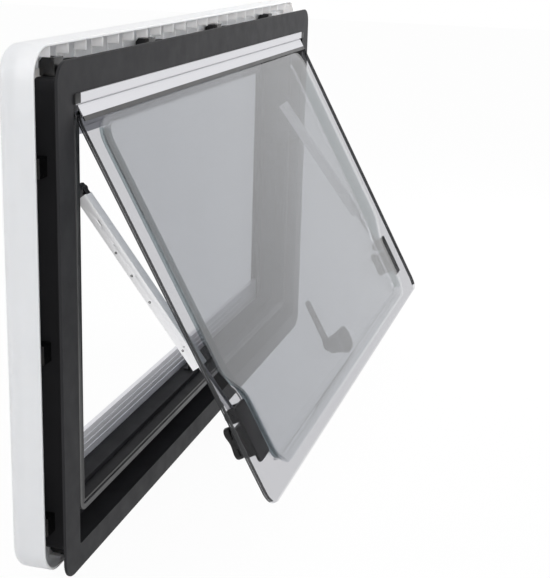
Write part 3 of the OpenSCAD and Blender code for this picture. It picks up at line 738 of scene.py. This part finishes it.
EDGE_WIDTHS = {
    "hinge_rail_cap_left": 0.5, "hinge_rail_cap_right": 0.5, "stay_pivot_left": 0.5,
    "stay_pivot_right": 0.5, "latch_keeper": 0.4, "guide_rail_left": 0.4,
    "guide_rail_right": 0.4, "blind_bar_ends": 0.4, "screen_bar_ends": 0.4,
    "blind_handle": 0.7, "screen_handle": 0.7,
}
fittings = {name: softened(name, width, "frame", black_plastic)
            for name, width in EDGE_WIDTHS.items()}
clamps = {side: softened(f"clamps_{side}", 0.6, "frame", glossy_black)
          for side in ("top", "bottom", "left", "right")}

# %% [markdown]
# ## Three small changes of place and size
#
# On the real window the blind's handle hangs lower than its solid, the caps reach further
# over the hinge rail and stand a little proud of it, and the top clamps are taller. New
# solids could be drawn, but the shapes are right and only their points have to move: all of
# them down, those of the cap's inner end along the rail, and those of a clamp up from its
# foot by a share of their height.

# %% Handle, rail caps and top clamps
SIDES = (("left", -1), ("right", 1))
HANDLE_DROP = 8.5 * MM
CAP_REACH, CAP_PROUD = 7.0 * MM, 1.03
CLAMP_FOOT, CLAMP_RISE, CLAMP_MOST = 508.25 * MM, 1.28, 18.2 * MM

for vertex in fittings["blind_handle"].data.vertices:
    vertex.co.z -= HANDLE_DROP
for side, sign in SIDES:
    low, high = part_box(f"hinge_rail_cap_{side}")
    centre = (low + high) / 2
    for vertex in fittings[f"hinge_rail_cap_{side}"].data.vertices:
        if (vertex.co.x - centre.x) * sign < 0:
            vertex.co.x -= sign * CAP_REACH
        vertex.co.y = centre.y + (vertex.co.y - centre.y) * CAP_PROUD
        vertex.co.z = centre.z + (vertex.co.z - centre.z) * CAP_PROUD
for vertex in clamps["top"].data.vertices:
    rise = vertex.co.z - CLAMP_FOOT
    vertex.co.z = CLAMP_FOOT + min(rise * CLAMP_RISE, CLAMP_MOST)
print("top clamps now reach to", round(max(v.co.z for v in clamps["top"].data.vertices) / MM, 1))

# %% [markdown]
# ## The stays
#
# Each stay is an aluminium channel that hangs from the frame, with a steel bar that slides
# in it and ends at a bracket on the sash. The channel's upper end sits in a black moulded
# head, so the softened channel is cut square a little below its pivot. Bisecting the mesh
# with a plane does that, and filling the cut edges closes it again.

# %% Brackets, channels and bars
STAY = math.radians(37.07)
STAY_PIVOT = Vector((0, 15.0, 390.0)) * MM
DOWN = Vector((0, -math.sin(STAY), -math.cos(STAY)))
CUT_BELOW = 7.0 * MM


def cut_head(piece):
    """Cuts a channel square below its pivot and closes the cut."""
    work = bmesh.new()
    work.from_mesh(piece.data)
    cut = bmesh.ops.bisect_plane(work, geom=work.verts[:] + work.edges[:] + work.faces[:],
                                 plane_co=STAY_PIVOT + DOWN * CUT_BELOW, plane_no=-DOWN,
                                 clear_outer=True)
    edges = [part for part in cut["geom_cut"] if isinstance(part, bmesh.types.BMEdge)]
    bmesh.ops.triangle_fill(work, edges=edges, use_beauty=True, use_dissolve=True)
    bmesh.ops.recalc_face_normals(work, faces=work.faces)
    print("open edges after the cut:", sum(1 for e in work.edges if len(e.link_faces) != 2))
    work.to_mesh(piece.data)
    work.free()


for side, sign in SIDES:
    softened(f"stay_bracket_{side}", 1.3, "sash", black_plastic)
for side, sign in SIDES:
    channel = softened(f"stay_channel_{side}", 0.25, f"stay_channel_{side}",
                       stay_metal_painted_light)
    cut_head(channel)
    softened(f"stay_bar_{side}", 0.4, f"stay_bar_{side}", steel)

# %% [markdown]
# ## The seal
#
# The pane closes on a rubber seal that runs once round the opening. It is an extruded
# profile bent round the corners and joined, so it is swept: a small Geometry Nodes tree
# draws the rounded rectangle from its named sizes and runs the profile along it. Changing a
# size there changes the whole seal. The profile has two lips on one neck, a wide one over
# its land and a thin one that reaches in under the pane's margin, and its foot is the solid's.

# %% Sweep tree
SEAL_CORNER_STEPS = 12


def sweep_tree():
    tree = bpy.data.node_groups.new("swept_round_a_frame", "GeometryNodeTree")
    face = tree.interface
    face.new_socket("Geometry", in_out="INPUT", socket_type="NodeSocketGeometry")
    for label in ("Width", "Height", "Middle height", "Corner radius"):
        face.new_socket(label, in_out="INPUT", socket_type="NodeSocketFloat")
    face.new_socket("Material", in_out="INPUT", socket_type="NodeSocketMaterial")
    face.new_socket("Geometry", in_out="OUTPUT", socket_type="NodeSocketGeometry")
    given = add(tree, "NodeGroupInput").outputs
    path = add(tree, "GeometryNodeCurvePrimitiveQuadrilateral",
               {"Width": given["Width"], "Height": given["Height"]})
    bent = add(tree, "GeometryNodeFilletCurve", {
        "Curve": path.outputs[0], "Count": SEAL_CORNER_STEPS, "Radius": given["Corner radius"]},
        mode="POLY")
    level = add(tree, "GeometryNodeSetCurveNormal", {"Curve": bent.outputs[0]}, mode="Z_UP")
    profile = add(tree, "GeometryNodeMeshToCurve", {"Mesh": given["Geometry"]})
    skin = add(tree, "GeometryNodeCurveToMesh", {"Curve": level.outputs[0],
                                                 "Profile Curve": profile.outputs[0]})
    lift = add(tree, "ShaderNodeCombineXYZ", {"Z": given["Middle height"]})
    stood = add(tree, "GeometryNodeTransform", {"Geometry": skin.outputs[0],
                                                "Translation": lift.outputs[0]})
    stood.inputs["Rotation"].default_value = (math.radians(90), 0, 0)
    real = add(tree, "GeometryNodeRealizeInstances", {"Geometry": stood.outputs[0]})
    finish = add(tree, "GeometryNodeSetMaterial", {"Geometry": real.outputs[0],
                                                   "Material": given["Material"]})
    output = add(tree, "NodeGroupOutput")
    tree.links.new(finish.outputs[0], output.inputs[0])
    return tree


def made_by(tree, mesh, values):
    """Runs a tree on a mesh and gives back the plain mesh that it makes."""
    maker = put_in_scene("maker", mesh)
    modifier = maker.modifiers.new("tree", "NODES")
    modifier.node_group = tree
    for item in tree.interface.items_tree:
        if item.item_type == "SOCKET" and item.in_out == "INPUT" and item.name in values:
            modifier[item.identifier] = values[item.name]
    graph = bpy.context.evaluated_depsgraph_get()
    made = bpy.data.meshes.new_from_object(maker.evaluated_get(graph))
    maker.modifiers.clear()
    bpy.data.objects.remove(maker)
    return made


SWEEP = sweep_tree()
print("tree inputs:", [i.name for i in SWEEP.interface.items_tree if i.in_out == "INPUT"])

# %% Seal
SEAL_W, SEAL_CORNER = 7.0, 10.0
INWARD = -1
seal_low, seal_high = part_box("frame_seal")


def profile_mesh(points):
    """A closed line of edges through points in millimetres."""
    mesh = bpy.data.meshes.new("profile")
    count = len(points)
    mesh.from_pydata([(x * MM, y * MM, 0) for x, y in points],
                     [(i, (i + 1) % count) for i in range(count)], [])
    return mesh


def lip_profile(front, back):
    """A slightly hollow lip on each side of a neck, between the front and the foot's back."""
    half = SEAL_W / 2
    outer = [(0.0, front + 0.5), (1.6, front + 0.25), (2.7, front), (half - 0.2, front + 0.2),
             (half, front + 0.7), (half - 0.4, front + 1.4), (2.2, front + 2.0),
             (1.3, front + 2.4), (1.2, front + 3.2), (1.4, back - 1.0), (half - 0.3, back - 0.8),
             (half, back - 0.4), (half, back)]
    inner = [(0.0, front + 0.5), (1.6, front + 0.25), (2.7, front), (half - 0.2, front + 0.3),
             (half, front + 1.0), (half + 0.3, front + 1.6), (5.2, front + 1.1),
             (7.0, front + 0.3), (7.8, front + 0.3), (7.9, front + 0.9), (6.2, front + 2.2),
             (4.3, front + 3.4), (half, back - 0.6), (half, back)]
    outer_side = [(-INWARD * x, y) for x, y in reversed(outer) if x > 0]
    return [(INWARD * x, y) for x, y in inner] + outer_side


seal_mesh = made_by(SWEEP, profile_mesh(lip_profile(seal_low.y / MM, seal_high.y / MM)), {
    "Width": seal_high.x - seal_low.x - SEAL_W * MM,
    "Height": seal_high.z - seal_low.z - SEAL_W * MM,
    "Middle height": (seal_low.z + seal_high.z) / 2,
    "Corner radius": SEAL_CORNER * MM,
    "Material": rubber,
})
seal = new_piece("window_seal", seal_mesh, "frame", [rubber], ["frame_seal"])
smooth(seal, 50)
print("seal reaches in mm:", [round(max(abs(v.co[i]) for v in seal.data.vertices) / MM, 1)
                              for i in (0, 2)])

# %% [markdown]
# ## The wing knobs
#
# A wing knob is gripped between two fingers, so it has two round lobes and a waist, and no
# edge that presses. It could be modelled by hand from a cube with a subdivided surface. Here
# it is a stack of outlines at several depths instead, and the outline shrinks towards the
# faces, which rounds the edges the way the mould does and keeps every size in plain sight.

# %% Wing knobs
KNOB_X, KNOB_U = 386.0, 381.0
HUB_RADIUS = 8.0
LOBE_OUT, LOBE_RADIUS, KNOB_WAIST = 12.0, 6.4, 3.4
HUB_LEVELS = [(1.0, 25.0), (0.3, 25.4), (0.0, 26.0), (0.0, 29.5)]
WING_LEVELS = [(1.6, 27.0), (0.6, 27.5), (0.0, 28.6), (0.0, 33.2), (0.6, 34.4), (1.8, 35.0)]


def stacked(name, shape, levels, place):
    """Stacks the outline shape(inset) at depths and closes the ends."""
    rings = [[on_sash(place[0] + x, place[1] + u, depth) for x, u in shape(inset)]
             for inset, depth in levels]
    return lofted(name, rings)


def joined(name, parts):
    work = bmesh.new()
    for part in parts:
        work.from_mesh(part)
    mesh = bpy.data.meshes.new(name)
    work.to_mesh(mesh)
    work.free()
    return mesh


def circle(radius, count):
    """Points round a circle."""
    turns = [math.tau * k / count for k in range(count)]
    return [(radius * math.cos(a), radius * math.sin(a)) for a in turns]


def disc(radius, count=40):
    def shape(inset):
        return circle(max(radius - inset, 0.05), count)
    return shape


def wing(arm, lobe, waist, count=36):
    """Two lobes on the u axis, arm from the middle, drawn in to the waist between them."""
    def shape(inset):
        r, w = lobe - inset, waist - inset
        right = []
        for k in range(count + 1):
            u = -(arm + r) * math.cos(math.pi * k / count)
            over = abs(u) - arm
            if over > 0:
                half = math.sqrt(max(r * r - over * over, 0.0))
            else:
                half = w + (r - w) * soft_step(abs(u) / arm)
            right.append((half, u))
        return right[:-1] + [(-x, u) for x, u in reversed(right[1:])]
    return shape


for side, sign in SIDES:
    place = (sign * KNOB_X, KNOB_U)
    hub = stacked("hub", disc(HUB_RADIUS), HUB_LEVELS, place)
    lobes = stacked("lobes", wing(LOBE_OUT, LOBE_RADIUS, KNOB_WAIST), WING_LEVELS, place)
    knob = new_piece(f"wing_knob_{side}", joined("knob", [hub, lobes]), f"stay_knob_{side}",
                     [black_plastic], [f"stay_knob_{side}"], swung=True)
    smooth(knob, 50)

# %% [markdown]
# ## The latch
#
# The latch holds the sash shut: a quarter turn of its lever puts a nose behind the keeper on
# the sill. Its base is a rounded block that narrows towards the lever, and the lever tapers
# to a round tip, so that a thumb finds it in the dark. Base, lever, hub and nose are stacks
# of outlines like the knobs. The lever's three parts overlap and turn as one piece.

# %% Latch block
LATCH = (40.0, 404.0)
LEAST_RADIUS = 0.2
BLOCK_HALF, BLOCK_UP, BLOCK_DOWN, BLOCK_CORNER = 22.5, 14.0, 19.0, 14.0
BLOCK_LEVELS = [(0.6, 15.5), (0.0, 16.2), (0.0, 18.0), (0.8, 20.0), (2.4, 23.0), (4.0, 27.0),
                (5.4, 31.0), (6.0, 37.4), (7.0, 38.8), (8.0, 39.2)]


def rounded(corners, radius, count):
    """Points round an outline whose corners are quarter circles."""
    return [point for x, u, start in corners for point in quarter(x, u, radius, start, count)]


def rounded_block(half_x, up, down, radius, count=10):
    """A rounded rectangle that reaches further down from the pivot than up."""
    def shape(inset):
        r = max(radius - inset, LEAST_RADIUS)
        side, head, foot = half_x - inset - r, -up + inset + r, down - inset - r
        return rounded(((side, head, -90), (side, foot, 0), (-side, foot, 90),
                        (-side, head, 180)), r, count)
    return shape


block = stacked("latch_block", rounded_block(BLOCK_HALF, BLOCK_UP, BLOCK_DOWN, BLOCK_CORNER),
                BLOCK_LEVELS, LATCH)
base = new_piece("latch_block", block, "sash", [black_plastic],
                 ["latch_base"], swung=True)
smooth(base, 50)

# %% Latch lever
LEVER_LENGTH, LEVER_ROOT, LEVER_TIP = 66.0, 5.4, 4.0
LEVER_HUB = 9.0
NOSE_LENGTH, NOSE_WIDTH, NOSE_CORNER = 20.0, 10.0, 3.0
ARM_LEVELS = [(0.8, 40.0), (0.0, 40.8), (0.0, 45.0), (0.9, 46.0)]
LEVER_HUB_LEVELS = [(0.8, 40.0), (0.0, 40.8), (0.0, 45.8), (1.2, 47.0)]


def lever_outline(length, root, tip, count=16):
    """A lever that points up from its pivot and tapers to a round tip."""
    over = [math.pi * k / count for k in range(count + 1)]
    under = [math.pi * (1 + k / count) for k in range(count + 1)]

    def shape(inset):
        top = -(length - tip)
        small, big = tip - inset, root - inset
        head = [(small * math.cos(a), top - small * math.sin(a)) for a in over]
        foot = [(big * math.cos(a), -big * math.sin(a)) for a in under]
        return head + foot
    return shape


def nose_outline(length, width, radius, count=8):
    """A rounded bar that points sideways from the pivot."""
    def shape(inset):
        r = max(radius - inset, LEAST_RADIUS)
        end, edge = length - inset - r, width / 2 - inset - r
        return rounded(((end, edge, 0), (0, edge, 90), (0, -edge, 180), (end, -edge, 270)),
                       r, count)
    return shape


arm = stacked("arm", lever_outline(LEVER_LENGTH, LEVER_ROOT, LEVER_TIP), ARM_LEVELS, LATCH)
hub = stacked("hub", disc(LEVER_HUB), LEVER_HUB_LEVELS, LATCH)
nose = stacked("nose", nose_outline(NOSE_LENGTH, NOSE_WIDTH, NOSE_CORNER), ARM_LEVELS, LATCH)
lever = new_piece("lever", joined("lever", [arm, hub, nose]), "latch_lever",
                  [black_plastic], ["latch_lever"], swung=True)
smooth(lever, 50)

# %% [markdown]
# ## What repeats
#
# Screws, rivets and grip ribs are each one shape, many times over. Copying an object by hand
# for each place is slow to change. Here each shape is drawn once and set out by a Geometry
# Nodes tree: it puts a copy on each point of a mesh and turns it to the axis that the point
# carries. A round shape is a profile turned round an axis. A screw's head has a cross
# recess, and the same number of points runs round its rim and round the cross.

# %% Copies on points
COPY_SIZE = 1.0


def copies_tree():
    tree = bpy.data.node_groups.new("copies_on_points", "GeometryNodeTree")
    face = tree.interface
    face.new_socket("Geometry", in_out="INPUT", socket_type="NodeSocketGeometry")
    face.new_socket("Drawn once", in_out="INPUT", socket_type="NodeSocketObject")
    face.new_socket("Size", in_out="INPUT", socket_type="NodeSocketFloat")
    face.new_socket("Material", in_out="INPUT", socket_type="NodeSocketMaterial")
    face.new_socket("Geometry", in_out="OUTPUT", socket_type="NodeSocketGeometry")
    given = add(tree, "NodeGroupInput").outputs
    drawn = add(tree, "GeometryNodeObjectInfo", {"Object": given["Drawn once"]})
    axis = add(tree, "GeometryNodeInputNamedAttribute", {"Name": "axis"}, data_type="FLOAT_VECTOR")
    turned = add(tree, "FunctionNodeAlignRotationToVector", {"Vector": axis.outputs["Attribute"]},
                 axis="Z")
    copies = add(tree, "GeometryNodeInstanceOnPoints", {
        "Points": given["Geometry"], "Instance": drawn.outputs["Geometry"],
        "Rotation": turned.outputs[0], "Scale": given["Size"]})
    real = add(tree, "GeometryNodeRealizeInstances", {"Geometry": copies.outputs[0]})
    finish = add(tree, "GeometryNodeSetMaterial", {"Geometry": real.outputs[0],
                                                   "Material": given["Material"]})
    output = add(tree, "NodeGroupOutput")
    tree.links.new(finish.outputs[0], output.inputs[0])
    return tree


def points_mesh(places, axis):
    """A mesh of loose points that all carry one axis."""
    mesh = bpy.data.meshes.new("places")
    mesh.from_pydata([tuple(p) for p in places], [], [])
    store = mesh.attributes.new("axis", "FLOAT_VECTOR", "POINT")
    for item in store.data:
        item.vector = axis
    return mesh


def set_out(name, thing, places, axis, body, material, replaced=()):
    """Sets out what was drawn once on all places and makes one piece of the copies."""
    made = made_by(COPIES, points_mesh(places, axis),
                   {"Drawn once": thing, "Size": COPY_SIZE, "Material": material})
    piece = new_piece(name, made, body, [material], replaced)
    smooth(piece, 40)
    return piece


COPIES = copies_tree()
print("tree inputs:", [i.name for i in COPIES.interface.items_tree if i.in_out == "INPUT"])

# %% Turned shapes and screws
# Shares of a head's radius and height, up its side, and of the cross and the recess's floor.
HEAD_CURVE = ((1.0, 0.0), (1.0, 0.45), (0.9, 0.8), (0.68, 1.0))
CROSS_ARM, CROSS_HALF = 0.6, 0.16
FLOOR_SHARE, FLOOR_HEIGHT = 0.8, 0.4


def revolved(name, profile, count=32):
    """Turns a profile of (radius, height) points round the Z axis, in millimetres."""
    return lofted(name, [[Vector((x, y, height)) * MM for x, y in circle(radius, count)]
                         for radius, height in profile])


def cross_radius(turn, arm, half):
    """How far a cross with arms along X and Y reaches in a direction."""
    c, s = abs(math.cos(turn)), abs(math.sin(turn))
    long, short = max(c, s), min(c, s)
    return min(arm / long, half / short) if short > 1e-6 else arm


def screw_mesh(head_r, head_t, shank_r, shank_l, count=48):
    turns = [math.tau * k / count for k in range(count)]
    cross = [cross_radius(a, head_r * CROSS_ARM, head_r * CROSS_HALF) for a in turns]

    def ring(radii, height):
        return [Vector((r * math.cos(a), r * math.sin(a), height)) * MM
                for r, a in zip(radii, turns)]

    rings = [ring([shank_r] * count, -shank_l), ring([shank_r] * count, 0)]
    rings += [ring([head_r * share] * count, head_t * height) for share, height in HEAD_CURVE]
    rings += [ring(cross, head_t), ring([r * FLOOR_SHARE for r in cross], head_t * FLOOR_HEIGHT)]
    return lofted("screw", rings)


# Radius and height of the head, radius and length of the shank.
CLAMP_SCREW = (3.8, 2.5, 2.0, 5.5)
screw = put_in_scene("drawn_once", screw_mesh(*CLAMP_SCREW))
print("faces of a clamp screw:", len(screw.data.polygons))

# %% [markdown]
# ## The clamp screws
#
# Fourteen equal screws pull the clamps against the wall from the room side, four along the
# head and the sill and three up each side. They stand square to the frame's edge, so each
# row of places shares one axis, and each row replaces the plain screws of its solid.

# %% Clamp screws
SCREW_Y = 30.5
ROW_X = (-418.5, -168.5, 81.5, 331.5)
ROW_Z = (46.25, 235.25, 424.25)
HEAD_Z, SILL_Z, SIDE_X = 512.25, 6.25, 453.0
SCREW_ROWS = {
    "top": ([(x, SCREW_Y, HEAD_Z) for x in ROW_X], (0, 0, 1)),
    "bottom": ([(x, SCREW_Y, SILL_Z) for x in ROW_X], (0, 0, -1)),
    "left": ([(-SIDE_X, SCREW_Y, z) for z in ROW_Z], (-1, 0, 0)),
    "right": ([(SIDE_X, SCREW_Y, z) for z in ROW_Z], (1, 0, 0)),
}
for side, (row, axis) in SCREW_ROWS.items():
    set_out(f"recessed_screws_{side}", screw, [Vector(place) * MM for place in row], axis,
            "frame", steel, [f"clamp_screws_{side}"])

# %% [markdown]
# ## Rivets and heads of the stays
#
# Four rivets hold the slides in each channel, and a black moulded head ties the channel to
# its pivot. A rivet seen from the side is a low ring with a dimple, so its profile is turned
# and set out along the channel. The head is a square bar that tapers at both ends, four
# rings of four corners, in directions that lean with the stay.

# %% Rivets and stay heads
RIVET_PROFILE = [(0.5, -0.4), (0.5, 0.1), (0.8, 0.25), (1.2, 0.15), (1.4, -0.1), (1.4, -0.4)]
RIVETS, RIVET_ACROSS, CHANNEL_HALF = (73.4, 101.8, 134.3, 194.5), 4.0, 7.5
ACROSS = Vector((0, math.cos(STAY), -math.sin(STAY)))
SQUARE = ((-1, -1), (1, -1), (1, 1), (-1, 1))
HEAD_LEVELS = ((-6.0, 3.4), (-4.6, 4.8), (7.5, 4.8), (9.0, 4.0))
eyelet = put_in_scene("drawn_once", revolved("eyelet", RIVET_PROFILE))


def on_stay(x, along, across):
    """A point of a stay: down from its pivot and across it, in metres."""
    return STAY_PIVOT + DOWN * along * MM + ACROSS * across * MM + Vector((x, 0, 0)) * MM


for side, sign in SIDES:
    places = [on_stay(sign * (KNOB_X + CHANNEL_HALF), along, RIVET_ACROSS) for along in RIVETS]
    set_out(f"eyelets_{side}", eyelet, places, (sign, 0, 0), f"stay_channel_{side}",
            black_plastic)
    rings = [[on_stay(sign * KNOB_X + x * half, along, y * half) for x, y in SQUARE]
             for along, half in HEAD_LEVELS]
    new_piece(f"stay_head_{side}", lofted("head", rings), f"stay_channel_{side}",
              [black_plastic])

# %% [markdown]
# ## Foot screws on the sash
#
# Each bracket is screwed to the sheet with four small screws, two on each side of the stay.
# They are the same screw at another size. Their places and their axis are swung open before
# the copies are made, because the tree turns each copy to an axis of the open sash.

# %% Foot screws
FOOT_SCREW = (2.6, 1.2, 1.2, 1.5)
FOOT_ACROSS, FOOT_U, FOOT_DEPTH = (-11.5, 11.5), (350.0, 401.5), 8.1
foot_screw = put_in_scene("drawn_once", screw_mesh(*FOOT_SCREW))
feet = [SWING @ on_sash(sign * KNOB_X + across, u, FOOT_DEPTH)
        for side, sign in SIDES for across in FOOT_ACROSS for u in FOOT_U]
set_out("foot_screws", foot_screw, feet, SWING.to_3x3() @ Vector((0, 1, 0)), "sash",
        steel)

# %% [markdown]
# ## Grips on the handles
#
# The handles of the blind and the flyscreen have two rows of small pips, so that fingers
# don't slip off. A bump texture would be cheaper, but it has no outline when it is seen from
# the side, so the pips are real. Their rows keep a little off the handle's edges, which are
# measured on the softened handle itself.

# %% Grip ribs on the handles
PIP_PROFILE, PIP_POINTS = [(0.9, -0.4), (0.9, 0.2), (0.5, 0.6)], 16
PIP_X = range(-20, 21, 4)
PIP_EDGE = 1.4 * MM
grip = put_in_scene("drawn_once", revolved("grip", PIP_PROFILE, PIP_POINTS))
for name in ("blind_handle", "screen_handle"):
    corners = [vertex.co for vertex in fittings[name].data.vertices]
    back = max(c.y for c in corners)
    rows = (min(c.z for c in corners) + PIP_EDGE, max(c.z for c in corners) - PIP_EDGE)
    spots = [Vector((x * MM, back, z)) for x in PIP_X for z in rows]
    set_out(f"{name}_grip", grip, spots, (0, 1, 0), "frame", black_plastic)
for helper in (screw, eyelet, foot_screw, grip):
    bpy.data.objects.remove(helper)

# %% [markdown]
# ## The rolled cloths
#
# The blind and the flyscreen are wound on thin tubes behind the frame's face. A plain
# cylinder has no layers, so each roll is drawn as what it is: one long strip, wound from the
# tube outwards. Its ends show the spiral, and the last turn leaves a step along the roll.
# The length of the strip says how far the real cloth would reach when it is drawn out.

# %% Rolls
CLOTH_T, LOOSE = 0.3, 1.2
CLOTH_IN, CLOTH_OFF, CLOTH_SHORT = 3.6, 0.05, 3.0
TUBE_RADIUS, PIN_RADIUS, PIN_OUT, PLAY, TUBE_POINTS = 3.5, 2.9, 3, 0.1, 24


def spiral_strip(inner_r, outer_r, cloth, per_turn=28):
    """The strip's end view: out along one side of the cloth and back along the other."""
    turns = (outer_r - inner_r - cloth) / (cloth * LOOSE)
    count = int(turns * per_turn)
    way = [(math.tau * k / per_turn, inner_r + (outer_r - cloth - inner_r) * k / count)
           for k in range(count + 1)]
    near = [(r * math.cos(a), r * math.sin(a)) for a, r in way]
    far = [((r + cloth) * math.cos(a), (r + cloth) * math.sin(a)) for a, r in way]
    return far + near[::-1]


def wound(name, node_name, material):
    """A cloth wound on its tube, in the place and size of its solid."""
    low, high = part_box(node_name)
    y, z = (low.y + high.y) / 2 / MM, (low.z + high.z) / 2 / MM
    radius = (high.z - low.z) / 2 / MM
    half = high.x / MM - CLOTH_SHORT
    strip = spiral_strip(CLOTH_IN, radius - CLOTH_OFF, CLOTH_T)
    flat = sum(math.dist(p, q) for p, q in zip(strip, strip[1:])) / 2
    print(f"{name}: {2 * half:.0f} mm wide, {flat:.0f} mm long when drawn out")
    cloth = lofted("cloth", [[Vector((x, y + a, z + b)) * MM for a, b in strip]
                             for x in (-half, half)])
    steps = ((-half - PIN_OUT, PIN_RADIUS), (-half - PLAY, PIN_RADIUS),
             (-half - PLAY, TUBE_RADIUS), (half + PLAY, TUBE_RADIUS),
             (half + PLAY, PIN_RADIUS), (half + PIN_OUT, PIN_RADIUS))
    tube = lofted("tube", [[Vector((x, y + a, z + b)) * MM for a, b in circle(r, TUBE_POINTS)]
                           for x, r in steps])
    for face in tube.polygons:
        face.material_index = 1
    piece = new_piece(name, joined(name, [cloth, tube]), "frame", [material, bar_metal],
                      [node_name])
    smooth(piece, 40)


wound("blind_wound", "blind_roll", white_cloth)
wound("screen_wound", "screen_roll", screen_cloth)
